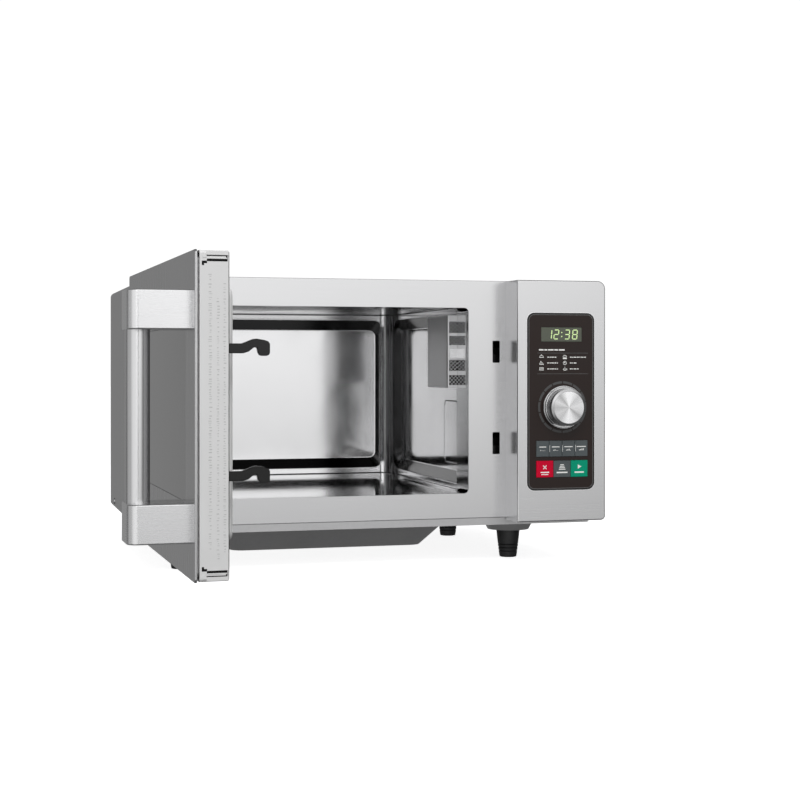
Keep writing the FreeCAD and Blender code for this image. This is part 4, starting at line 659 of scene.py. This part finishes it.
def make_feet():
    """Tapered rubber feet with a rolled rim, grooves and a hollow for the screw."""
    bm = bmesh.new()
    for low, high in islands("feet"):
        top = (high.x - low.x) / 2
        height = high.z - low.z
        centre = Vector(((low.x + high.x) / 2, (low.y + high.y) / 2, low.z))
        foot = top * FOOT_TAPER
        profile = [(0, FOOT_HOLLOW * height), (FOOT_WELL, FOOT_HOLLOW * height),
                   (FOOT_WELL, 0.6 * MM), (FOOT_WELL + 0.6 * MM, 0), (foot - 1.2 * MM, 0),
                   (foot - 0.3 * MM, 0.4 * MM), (foot, 1.4 * MM)]
        for share in FOOT_GROOVES:
            radius = foot + (top - foot) * share
            profile += [(radius - 0.1 * MM, height * (share - 0.02)),
                        (radius - 0.7 * MM, height * share),
                        (radius, height * (share + 0.02))]
        profile += [(top - 0.4 * MM, height - 1.2 * MM), (top - 0.7 * MM, height - 0.3 * MM),
                    (top - 1.4 * MM, height), (0, height)]
        lathe(bm, profile, Matrix.Translation(centre))
    feet = add_piece("rubber_feet", bm, "cabinet", "rubber", 28)
    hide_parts("feet")


def screw_mesh(radius, height, length):
    """Pan-head screw with a cross recess, its seat at the origin and its head along +Z."""
    bm = bmesh.new()
    shank = radius * 0.42
    lathe(bm, [(0, -length), (shank * 0.6, -length), (shank, -length + 0.8 * MM), (shank, 0),
               (radius * 0.97, 0), (radius, height * 0.2), (radius * 0.97, height * 0.55),
               (radius * 0.85, height * 0.82), (radius * 0.6, height * 0.96), (0, height)],
          Matrix.Identity(4), 32)
    head = bpy.data.meshes.new("screw")
    bm.to_mesh(head)
    bm.free()
    cutter_bm = bmesh.new()
    for turn in (0, 90):
        place = Matrix.Rotation(math.radians(turn), 4, "Z")
        slab(cutter_bm, box_outline(0, 0, radius * 1.15, radius * 0.26), place,
             height * 0.35, height * 1.3)
    cutter_mesh = bpy.data.meshes.new("recess")
    cutter_bm.to_mesh(cutter_mesh)
    cutter_bm.free()
    body = add_object("screw", head)
    cutter = add_object("recess", cutter_mesh)
    cut = body.modifiers.new("recess", "BOOLEAN")
    cut.object = cutter
    cut.operation = "DIFFERENCE"
    cut.use_self = True
    graph = bpy.context.evaluated_depsgraph_get()
    result = bpy.data.meshes.new_from_object(body.evaluated_get(graph))
    for made in (body, cutter):
        bpy.data.objects.remove(made)
    return result


def make_screws():
    """Every casing and foot screw, each turned its own way."""
    bm = bmesh.new()
    shape = screw_mesh(SCREW_RADIUS, SCREW_HEIGHT, SCREW_LENGTH)
    for index, (low, high) in enumerate(islands("casing_screws")):
        centre = (low + high) / 2
        size = high - low
        axis = max(range(3), key=lambda i: size[i])
        out = (RIGHT * math.copysign(1, centre.x), BACK, -UP)[axis]
        seat = centre.copy()
        seat[axis] = (high if out[axis] > 0 else low)[axis] - out[axis] * SCREW_HEIGHT
        side = (UP, UP, RIGHT)[axis]
        place = axes(seat, side, out.cross(side)) @ Matrix.Rotation(index * 0.7, 4, "Z")
        start = len(bm.verts)
        bm.from_mesh(shape)
        bm.verts.ensure_lookup_table()
        bmesh.ops.transform(bm, matrix=place, verts=bm.verts[start:])
    screws = add_piece("cross_head_screws", bm, "cabinet", "screw_steel", 30)
    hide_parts("casing_screws")


# ---- door ----

def joint(name):
    """The record's entry for a joint."""
    joints = frame["record"]["behaviour"]["joints"]
    return next(entry for entry in joints if entry["name"] == name)


def door_place():
    """Carries a point of the closed door to where the door is stored."""
    hinge = joint("door_hinge")
    pin = Vector(hinge["pos_m"])
    turn = Matrix.Rotation(-math.radians(hinge["range_deg"][1]), 4, "Z")
    return Matrix.Translation(pin) @ turn @ Matrix.Translation(-pin)


def closed_box(node):
    """Lowest and highest corner of a node on the door, with the door closed."""
    back = door_place().inverted()
    points = [back @ vert.co for vert in nodes[node].data.vertices]
    return [Vector([pick(point[axis] for point in points) for axis in range(3)])
            for pick in (min, max)]


def make_door_trims():
    """Lips, slots and stepped corners at both ends of the door's free edge; the slots are
    near-black bars of painted shade.
    """
    place = door_place()
    skin_low, skin_high = closed_box("door_skin")
    low_z, high_z = (corner.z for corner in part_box("door_liner"))
    edge = skin_high.x - 0.6 * MM
    white = bmesh.new()
    dark = bmesh.new()
    # the dark bars are painted shade in the slots
    # in millimetres: start and end from the skin's face, near and far from the end, and height
    bars = ((white, 9.5, 27.4, 0.8, 4.0, 0.5), (white, 9.8, 26.0, 6.0, 7.0, 0.35),
            (white, 6.4, 9.6, 2.2, 6.2, 0.3), (dark, 9.8, 26.4, 7.0, 9.0, 0.05),
            (dark, 25.2, 26.4, 4.8, 7.2, 0.05), (dark, 5.8, 10.0, 8.6, 10.6, 0.05),
            (dark, 5.8, 7.6, 10.4, 12.2, 0.05), (dark, 9.0, 26.4, 4.1, 4.9, 0.05))
    for end, inward in ((high_z, -1), (low_z, 1)):
        edge_place = place @ axes((edge, skin_low.y, end), BACK, UP)
        for bm, start, stop, near, far, proud in bars:
            bar = box_outline((start + stop) / 2, inward * (near + far) / 2, stop - start,
                              far - near)
            slab(bm, in_mm(bar), edge_place, -0.3 * MM, proud * MM)
    trims = add_piece("door_end_lips", white, "door", "liner_plastic")
    soften(trims, 0.15 * MM)
    add_piece("door_end_slot_shade", dark, "door", "painted_shade_black")


def make_edge_ribs():
    """Three rows of small raised dashes along the liner's free edge, darker than it as painted
    shade, and a dark line of painted shade beside them.
    """
    low, high = closed_box("door_liner")
    depth, length = high.y - low.y, high.z - low.z
    at = door_place() @ axes((high.x, low.y, low.z), BACK, UP)
    picks = random.Random(7)
    bm = bmesh.new()
    # a row's place across the edge, its width in millimetres, and where it starts and stops
    for share, width, start, stop in ((0.36, 2.6, 0.10, 0.93), (0.62, 2.0, 0.07, 0.86),
                                      (0.84, 2.0, 0.09, 0.90)):
        height = length * start
        while height < length * stop:
            tall = picks.choice((0.7, 1.1, 1.5)) * MM
            wide = width * picks.choice((0.55, 0.8, 1.0)) * MM
            middle = depth * share + picks.choice((-0.3, 0.0, 0.3)) * MM
            slab(bm, box_outline(middle, height, wide, tall * 0.5), at, -0.1 * MM, 0.14 * MM)
            height += tall + picks.choice((0.9, 0.9, 2.2)) * MM
    # the dashes take a darker colour as painted shade
    add_piece("door_edge_ribs", bm, "door", "liner_painted_shade")
    # a dark line of painted shade along the edge
    line = bmesh.new()
    slab(line, box_outline(depth - 0.45 * MM, length / 2, 0.5 * MM, length - 3 * MM), at,
         -0.1 * MM, 0.10 * MM)
    add_piece("door_edge_shade_line", line, "door", "painted_shade_black")


def make_hooks():
    """Moulded hooks on their sliding bar, with rounded edges."""
    low, high = closed_box("latch_hooks")
    place = door_place() @ axes(((low.x + high.x) / 2, 0, 0), BACK, UP)
    bm = bmesh.new()
    # outline from the bar to the tip: distance back from the tip, and height, in millimetres
    outline = [(37.5, -4.0), (22.0, -4.0), (17.5, -2.6), (13.0, 0.9), (10.6, 0.6), (9.8, -3.2),
               (8.4, -5.6), (6.6, -6.0), (2.6, -6.0), (0.6, -5.0), (0.0, -3.4), (0.0, 3.8),
               (1.4, 5.8), (4.5, 6.8), (11.0, 7.9), (14.2, 7.5), (18.0, 5.9), (23.0, 4.0),
               (37.5, 4.0)]
    for height in (low.z + HOOK_INSET, high.z - HOOK_INSET):
        shape = [(high.y - a * MM, height + b * MM) for a, b in outline]
        slab(bm, shape, place, -HOOK_HALF, HOOK_HALF)
    bar = box_outline(low.y + BAR_DEPTH / 2, (low.z + high.z) / 2, BAR_DEPTH, high.z - low.z)
    bar_half = (high.x - low.x) / 2
    slab(bm, bar, place, -bar_half, bar_half)
    hooks = add_piece("moulded_latch_hooks", bm, "latch", "black_plastic", 40)
    soften(hooks, 0.45 * MM, 2, 25.0)
    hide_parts("latch_hooks")


def make_latch_spring():
    """Spring over the hooks' bar, taken from its CAD node and carried on the door."""
    coil = bmesh.new()
    coil.from_mesh(nodes["latch_spring"].data)
    spring = add_piece("coiled_latch_spring", coil, "door", "screw_steel", 40)
    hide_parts("latch_spring")
    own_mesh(spring)


# ---- cavity ----

GUARD_SIDES = (2.4 * MM, 15.6 * MM)
# each window's start and height, as shares of the guard's height
GUARD_WINDOWS = ((0.755, 0.152), (0.59, 0.125), (0.235, 0.152), (0.04, 0.137))
GUARD_PLATE = (0.475, 0.13)
MESH_STEP = 4.4 * MM
MESH_WIRE = 0.4 * MM


def make_guard_mesh():
    """Painted shade in the vent guard's front windows, behind a lattice of wire."""
    low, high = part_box("vent_guard")
    height = high.z - low.z
    place = to_front(low)
    dark = bmesh.new()
    wire = bmesh.new()
    left, right = GUARD_SIDES
    middle, width = (left + right) / 2, right - left
    for start, tall in GUARD_WINDOWS:
        bottom, top = start * height, (start + tall) * height
        # near-black slabs of painted shade in the windows
        slab(dark, box_outline(middle, (bottom + top) / 2, width, top - bottom), place,
             -SINK, 0.12 * MM)
        x = left - (top - bottom)
        while x < right:
            for lean in (1, -1):
                ends = clipped(x, lean, left, right, bottom, top)
                if ends:
                    slab(wire, stroke(*ends, MESH_WIRE), place, SINK, 0.3 * MM)
            x += MESH_STEP
    add_piece("guard_window_shade", dark, "cabinet", "painted_shade_black")
    add_piece("guard_lattice", wire, "cabinet", "guard_steel")
    blank = bmesh.new()
    share, tall = GUARD_PLATE
    slab(blank, box_outline(middle, share * height, width * 0.9, tall * height), place,
         -SINK, 0.25 * MM)
    plate = add_piece("guard_plate", blank, "cabinet", "rim_bright")
    soften(plate, 0.2 * MM)


def make_waveguide_outline():
    """Dark seam round the waveguide's cover, and a painted highlight along its lip."""
    low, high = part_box("waveguide_cover")
    centre = (low + high) / 2
    place = axes((low.x, centre.y, centre.z), -BACK, UP)
    # the bright lip is a painted highlight
    add_rims(high.y - low.y, high.z - low.z, COVER_CORNER, place, (
        ("cover_seam", "rim_dark", "guard_steel", 0.6, 1.3, -0.1, 0.12),
        ("cover_lip_painted_highlight", "rim_bright", "guard_steel", -1.0, 1.1, -0.1, 0.25)))


def clipped(x, lean, left, right, bottom, top):
    """The part of a slanting line inside a window, or nothing."""
    tall = top - bottom
    start, end = max(0.0, left - x), min(tall, right - x)
    if end - start < 0.6 * MM:
        return None
    if lean > 0:
        return (x + start, bottom + start), (x + end, bottom + end)
    return (x + start, top - start), (x + end, top - end)


# ---- control panel: places in millimetres from the overlay's or the window's lower left ----

RULE_MIDDLE = 42.0
RULE_LENGTH = 60.2
RULE_HEIGHTS = (151.9, 128.9)
HEADING_START = 13.8
HEADING_HEIGHT = 155.4
HEADING_WORDS = (5.4, 3.2, 6.6, 4.2, 7.0)
ICON_COLUMNS = (16.8, 44.4)
BAR_COLUMNS = (23.6, 50.4)
ROW_HEIGHTS = (147.3, 140.9, 134.3)
BAR_LENGTHS = ((11.8, 13.2, 13.0), (19.6, 8.0, 10.4))
BAR_DASHES = (2.2, 1.2, 3.0)
SCALE_RADIUS = 27.4
SCALE_WIDTH = 2.6
SCALE_MARKS = 14
SCALE_START = 65.0           # in degrees, as the next two
SCALE_STEP = 25.7
SCALE_MARK = 23.2
DIGITS = ((5.9, "1"), (14.2, "2"), (27.0, "3"), (36.2, "8"))
DIGIT_SIZE = (6.3, 11.0)
DIGIT_WEIGHT = 1.05
DIGIT_BOTTOM = 2.3
COLON = ((24.2, 5.6), (24.2, 10.0))
SEGMENTS = {"1": "bc", "2": "abged", "3": "abgcd", "8": "abcdefg"}


def digit_outlines(digit, width, height, weight):
    """Seven-segment bars of a digit, leaning a little."""
    w, h, gap = width - weight, height / 2 - weight / 2, weight * 0.18
    x0, y0 = weight / 2, weight / 2
    ends = {"a": ((x0, y0 + 2 * h), (x0 + w, y0 + 2 * h)), "g": ((x0, y0 + h), (x0 + w, y0 + h)),
            "d": ((x0, y0), (x0 + w, y0)), "b": ((x0 + w, y0 + h), (x0 + w, y0 + 2 * h)),
            "c": ((x0 + w, y0), (x0 + w, y0 + h)), "e": ((x0, y0), (x0, y0 + h)),
            "f": ((x0, y0 + h), (x0, y0 + 2 * h))}
    outlines = []
    for name in SEGMENTS[digit]:
        start, end = (Vector(p) for p in ends[name])
        along = (end - start).normalized()
        side = Vector((-along.y, along.x)) * (weight / 2)
        start += along * gap
        end -= along * gap
        inset = along * (weight / 2)
        points = [start, start + inset - side, end - inset - side, end, end - inset + side,
                  start + inset + side]
        outlines.append([(p.x + 0.09 * p.y, p.y) for p in points])
    return outlines


def icon_outlines():
    """Six plain food symbols about 5 mm wide: lid, slice, packet, bun, potato and cup."""
    lid = [band(2.1, 0.5, 15, 165), stroke((-2.7, -0.2), (2.7, -0.2), 0.6),
           box_outline(0, 2.7, 0.7, 0.6)]
    piece = [stroke((-2.4, -1.6), (2.6, -1.6), 0.6), stroke((-2.4, -1.6), (-1.0, 1.9), 0.5),
             stroke((-1.0, 1.9), (2.6, -1.6), 0.5), box_outline(-0.4, -0.3, 0.7, 0.7)]
    packet = [stroke((-2.4, 1.6 - 1.0 * i), (2.4, 1.6 - 1.0 * i), 0.4) for i in range(4)]
    packet += [stroke((-2.2 + 4.4 * i, -1.6), (-2.2 + 4.4 * i, 1.8), 0.5) for i in range(2)]
    bun = [band(2.1, 0.5, 20, 160), box_outline(0, -1.3, 4.6, 1.5), box_outline(0, 0.1, 4.4, 0.4)]
    potato = [band(1.9, 0.5, 0, 180), band(1.9, 0.5, 180, 360), box_outline(0, 0.4, 1.2, 1.2)]
    cup = [band(1.7, 0.5, 180, 360), stroke((-1.9, 0), (1.9, 0), 0.5),
           stroke((0, 0.9), (0, 2.4), 0.4), band(0.7, 0.4, -80, 80)]
    cup[-1] = moved(cup[-1], 2.0, -0.5)
    return [lid, piece, packet, bun, potato, cup]


def make_panel_prints():
    """Heading bar, two rules, six symbols with their time bars, and the dial's scale."""
    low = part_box("control_overlay")[0]
    place = to_front(low)
    white = bmesh.new()
    pale = bmesh.new()
    scale = bmesh.new()

    def add(bm, outline):
        slab(bm, in_mm(outline), place, -SINK, 0.10 * MM)

    for height in RULE_HEIGHTS:
        add(pale, box_outline(RULE_MIDDLE, height, RULE_LENGTH, 0.35))
    start = HEADING_START
    for width in HEADING_WORDS:
        add(white, box_outline(start + width / 2, HEADING_HEIGHT, width, 1.5))
        start += width + 1.0
    icons = iter(icon_outlines())
    for icon_x, bar_x, lengths in zip(ICON_COLUMNS, BAR_COLUMNS, BAR_LENGTHS):
        for height, length in zip(ROW_HEIGHTS, lengths):
            for outline in next(icons):
                add(white, moved(outline, icon_x, height))
            left, right = bar_x, bar_x + length
            for dash in cycle(BAR_DASHES):
                if left >= right - 0.5:
                    break
                add(white, box_outline(left + dash / 2, height, min(dash, right - left), 1.0))
                left += dash + 0.7
    skirt_low, skirt_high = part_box("dial_skirt")
    centre = (skirt_low + skirt_high) / 2 - low
    for mark in range(SCALE_MARKS):
        start = SCALE_START - SCALE_STEP * mark
        outline = band(SCALE_RADIUS, SCALE_WIDTH, start, start + SCALE_MARK, 8)
        add(scale, moved(outline, centre.x / MM, centre.z / MM))
    add_piece("dial_scale", scale, "cabinet", "print_scale")
    add_piece("panel_symbols", white, "cabinet", "white_print_painted_glow")
    add_piece("panel_rules", pale, "cabinet", "grey_print_and_highlight")


def rounded_loop(width, height, radius, steps=8):
    """Rounded rectangle about its middle, anticlockwise."""
    points = []
    for corner, (sx, sy) in enumerate(((1, 1), (-1, 1), (-1, -1), (1, -1))):
        for step in range(steps + 1):
            turn = math.radians(90 * corner + 90 * step / steps)
            points.append((sx * (width / 2 - radius) + radius * math.cos(turn),
                           sy * (height / 2 - radius) + radius * math.sin(turn)))
    return points


def loop_strip(bm, outer, inner, place, low, high):
    """Closed strip between two loops of as many points, between two levels."""
    rows = [[bm.verts.new(place @ Vector((x, y, level))) for x, y in loop]
            for loop, level in ((outer, low), (outer, high), (inner, high), (inner, low))]
    count = len(outer)
    for first, second in zip(rows, rows[1:] + rows[:1]):
        for i in range(count):
            j = (i + 1) % count
            bm.faces.new((first[i], first[j], second[j], second[i]))


def add_rims(width, height, corner, place, rows):
    """Strips round a rounded rectangle; a row ends in outset, breadth, foot and top in mm."""
    for name, paint, slot, outset, breadth, foot, top in rows:
        loops = [rounded_loop(width + 2 * grow * MM, height + 2 * grow * MM, (corner + grow) * MM)
                 for grow in (outset, outset - breadth)]
        bm = bmesh.new()
        loop_strip(bm, *loops, place, foot * MM, top * MM)
        add_piece(name, bm, "cabinet", paint)


def make_overlay_rim():
    """Black edge of the overlay, with painted highlights: a fine light line inside it and a bright
    line round it.
    """
    low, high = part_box("control_overlay")
    place = to_front(((low.x + high.x) / 2, low.y, (low.z + high.z) / 2))
    # the light line and the bright surround are painted highlights
    add_rims(high.x - low.x, high.z - low.z, OVERLAY_CORNER, place, (
        ("overlay_black_edge", "rim_dark", "black_plastic", 0.0, 1.6, -0.05, 0.10),
        ("overlay_inner_painted_highlight", "grey_print_and_highlight", "key_grey", -1.9, 0.5, -0.09, 0.06),
        ("overlay_outer_painted_highlight", "rim_bright", "brushed_steel", 0.7, 0.6, -0.45, -0.30)))


def make_dial():
    """Turned cap with its bevel, and the two bright rings at the dial's foot."""
    low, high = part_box("dial_cap")
    centre = (low + high) / 2
    radius = (high.x - low.x) / 2
    thick = high.y - low.y
    place = to_front((centre.x, high.y, centre.z))
    face = bmesh.new()
    lathe(face, [(0, 0), (radius * 0.86, 0), (radius * 0.86, thick), (radius * 0.45, thick),
                 (0, thick)], place, 96)
    cap = add_piece("dial_turned_face", face, "dial", "dial_cap", 30)
    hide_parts("dial_cap")
    bevel = bmesh.new()
    lathe(bevel, [(0, 0), (radius * 0.985, 0), (radius, 0.1 * MM), (radius, 0.3 * MM),
                  (radius * 0.875, thick - 0.1 * MM), (radius * 0.87, thick * 0.6),
                  (0, thick * 0.6)], place, 96)
    add_piece("dial_bevel", bevel, "dial", "dial_bevel", 20)
    skirt_low, skirt_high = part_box("dial_skirt")
    skirt = (skirt_high.x - skirt_low.x) / 2
    seat = to_front((centre.x, skirt_low.y, centre.z))
    turns = [math.pi * step / 8 for step in range(9)]
    rings = bmesh.new()
    for ring in (skirt - 0.6 * MM, radius + 0.5 * MM):
        profile = [(ring - RING_WIRE, -0.2 * MM), (ring + RING_WIRE, -0.2 * MM)]
        profile += [(ring + RING_WIRE * math.cos(turn), RING_WIRE * math.sin(turn))
                    for turn in turns]
        closed_lathe(rings, profile, seat)
    add_piece("dial_bright_rings", rings, "dial", "bright_ring", 60)


def make_clock():
    """Glowing clock digits on the display's window."""
    place = to_front(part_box("display_window")[0])
    outlines = [moved(outline, left, DIGIT_BOTTOM) for left, digit in DIGITS
                for outline in digit_outlines(digit, *DIGIT_SIZE, DIGIT_WEIGHT)]
    outlines += [box_outline(x, y, 1.2, 1.2) for x, y in COLON]
    bm = bmesh.new()
    for outline in outlines:
        slab(bm, in_mm(outline), place, -SINK, 0.10 * MM)
    add_piece("clock_digits", bm, "cabinet", "digits")


def make_key_marks():
    """Plain symbols on the keys; each set rides on its own key."""
    marks = {}
    for level, key in enumerate(("hold", "defrost", "medium", "medium_high")):
        outlines = [box_outline(0, 2.0, 8.0 + level, 0.9)]
        for step in range(4):
            height = 0.9 + 0.45 * step if step <= level else 0.35
            outlines.append(box_outline(-2.4 + 1.6 * step, -2.2 + height / 2, 0.9, height))
        if level:
            outlines.append(box_outline(-7.0, 0.2, 0.35, 7.2))
        marks["key_power_" + key] = outlines
    marks["key_stop"] = [stroke((-2.0, 0.0), (2.0, 4.0), 0.9), stroke((-2.0, 4.0), (2.0, 0.0), 0.9),
                         box_outline(0, -3.6, 10.0, 1.3), box_outline(0, -6.0, 8.4, 0.9)]
    marks["key_memory"] = [box_outline(0, 4.6 - 1.7 * i, 4.2 + 1.2 * i, 0.9) for i in range(4)]
    marks["key_memory"].append(box_outline(0, -4.0, 13.0, 1.5))
    marks["key_start"] = [[(-1.7, -0.2), (2.6, 2.2), (-1.7, 4.6)], box_outline(0, -4.0, 11.0, 1.5)]
    for key, outlines in marks.items():
        low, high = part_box(key)
        face = to_front(((low.x + high.x) / 2, low.y, (low.z + high.z) / 2))
        bm = bmesh.new()
        for outline in outlines:
            slab(bm, in_mm(outline), face, -SINK, 0.08 * MM)
        add_piece(key + "_mark", bm, key, "white_print_painted_glow")


# ---- studio ----

def look_at(obj, target):
    """Turns a light or a card to face a point."""
    obj.rotation_euler = (Vector(target) - obj.location).to_track_quat("-Z", "Y").to_euler()


def add_light(name, place, target, width, height, power):
    """Soft box that lights plastic and paint but doesn't show in steel."""
    data = bpy.data.lights.new(name, "AREA")
    data.shape = "RECTANGLE"
    data.size = width
    data.size_y = height
    data.energy = power
    light = add_object(name, data)
    light.location = place
    look_at(light, target)
    light.visible_glossy = False
    light.visible_camera = False


def sheet_mesh(name, width, height, paint):
    """Flat rectangle about its own middle."""
    mesh = bpy.data.meshes.new(name)
    corners = [(x, y, 0) for x, y in box_outline(0, 0, width, height)]
    mesh.from_pydata(corners, [], [(0, 1, 2, 3)])
    mesh.materials.append(paint.material)
    return mesh


def add_card(name, place, target, width, height, tone):
    """Dark card that steel mirrors; it isn't seen itself and throws no shadow."""
    paint = Paint(name, grey(tone), roughness=0.9)
    paint.color(paint.noise((3, 3, 3)), grey(tone * 0.9), grey(tone))
    card = add_object(name, sheet_mesh(name, width, height, paint))
    card.location = place
    look_at(card, target)
    card.visible_camera = False
    card.visible_shadow = False
    card.visible_diffuse = False


def make_world():
    """White to look at; in reflections a grey room with broad bright screens."""
    world = bpy.data.worlds.new("studio")
    bpy.context.scene.world = world
    world.use_nodes = True
    tree = world.node_tree
    background = tree.nodes["Background"]
    direction = tree.nodes.new("ShaderNodeTexCoord").outputs["Generated"]
    level = None
    for axis, wide, core, gain in ROOM_SCREENS:
        facing = tree.nodes.new("ShaderNodeVectorMath")
        facing.operation = "DOT_PRODUCT"
        tree.links.new(direction, facing.inputs[0])
        facing.inputs[1].default_value = Vector(axis).normalized()
        glow = tree.nodes.new("ShaderNodeMapRange")
        glow.interpolation_type = "SMOOTHSTEP"
        tree.links.new(facing.outputs["Value"], glow.inputs["Value"])
        glow.inputs["From Min"].default_value = math.cos(math.radians(wide))
        glow.inputs["From Max"].default_value = math.cos(math.radians(core))
        glow.inputs["To Max"].default_value = gain
        added = tree.nodes.new("ShaderNodeMath")
        added.inputs[0].default_value = ROOM_GREY
        if level:
            tree.links.new(level, added.inputs[0])
        tree.links.new(glow.outputs["Result"], added.inputs[1])
        level = added.outputs["Value"]
    seen = tree.nodes.new("ShaderNodeLightPath")
    choice = tree.nodes.new("ShaderNodeMix")
    tree.links.new(seen.outputs["Is Camera Ray"], choice.inputs[0])
    tree.links.new(level, choice.inputs[2])
    choice.inputs[3].default_value = ROOM_WHITE
    tree.links.new(choice.outputs[0], background.inputs["Strength"])
    background.inputs["Color"].default_value = (1, 1, 1, 1)


def make_studio():
    """Pale floor, soft boxes and dark cards."""
    bpy.context.scene.view_settings.view_transform = "Standard"
    make_world()
    paint = Paint("floor", grey(0.8), roughness=0.7, Emission_Color=(1, 1, 1, 1),
                  Emission_Strength=FLOOR_GLOW)
    paint.color(paint.noise((2, 2, 2)), grey(0.79), grey(0.81))
    floor = add_object("floor", sheet_mesh("floor", 2 * FLOOR_REACH, 2 * FLOOR_REACH, paint))
    floor.location.z = cad_low.z
    floor.visible_glossy = False
    floor.visible_diffuse = False
    for light in SOFT_BOXES:
        add_light(*light)
    for card in DARK_CARDS:
        add_card(*card)


def make_camera():
    """Camera level with the floor, turned to the right."""
    data = bpy.data.cameras.new("camera")
    data.lens = CAMERA_LENS
    data.sensor_width = CAMERA_SENSOR
    data.shift_y = CAMERA_SHIFT
    camera = add_object("camera", data)
    camera.location = CAMERA_PLACE
    camera.rotation_euler = (math.pi / 2, 0, -CAMERA_TURN)
    bpy.context.scene.camera = camera


make_camera()
make_studio()
paint_nodes()
make_feet()
make_screws()
make_door_trims()
make_edge_ribs()
make_hooks()
make_latch_spring()
make_guard_mesh()
make_waveguide_outline()
make_overlay_rim()
make_panel_prints()
make_dial()
make_clock()
make_key_marks()
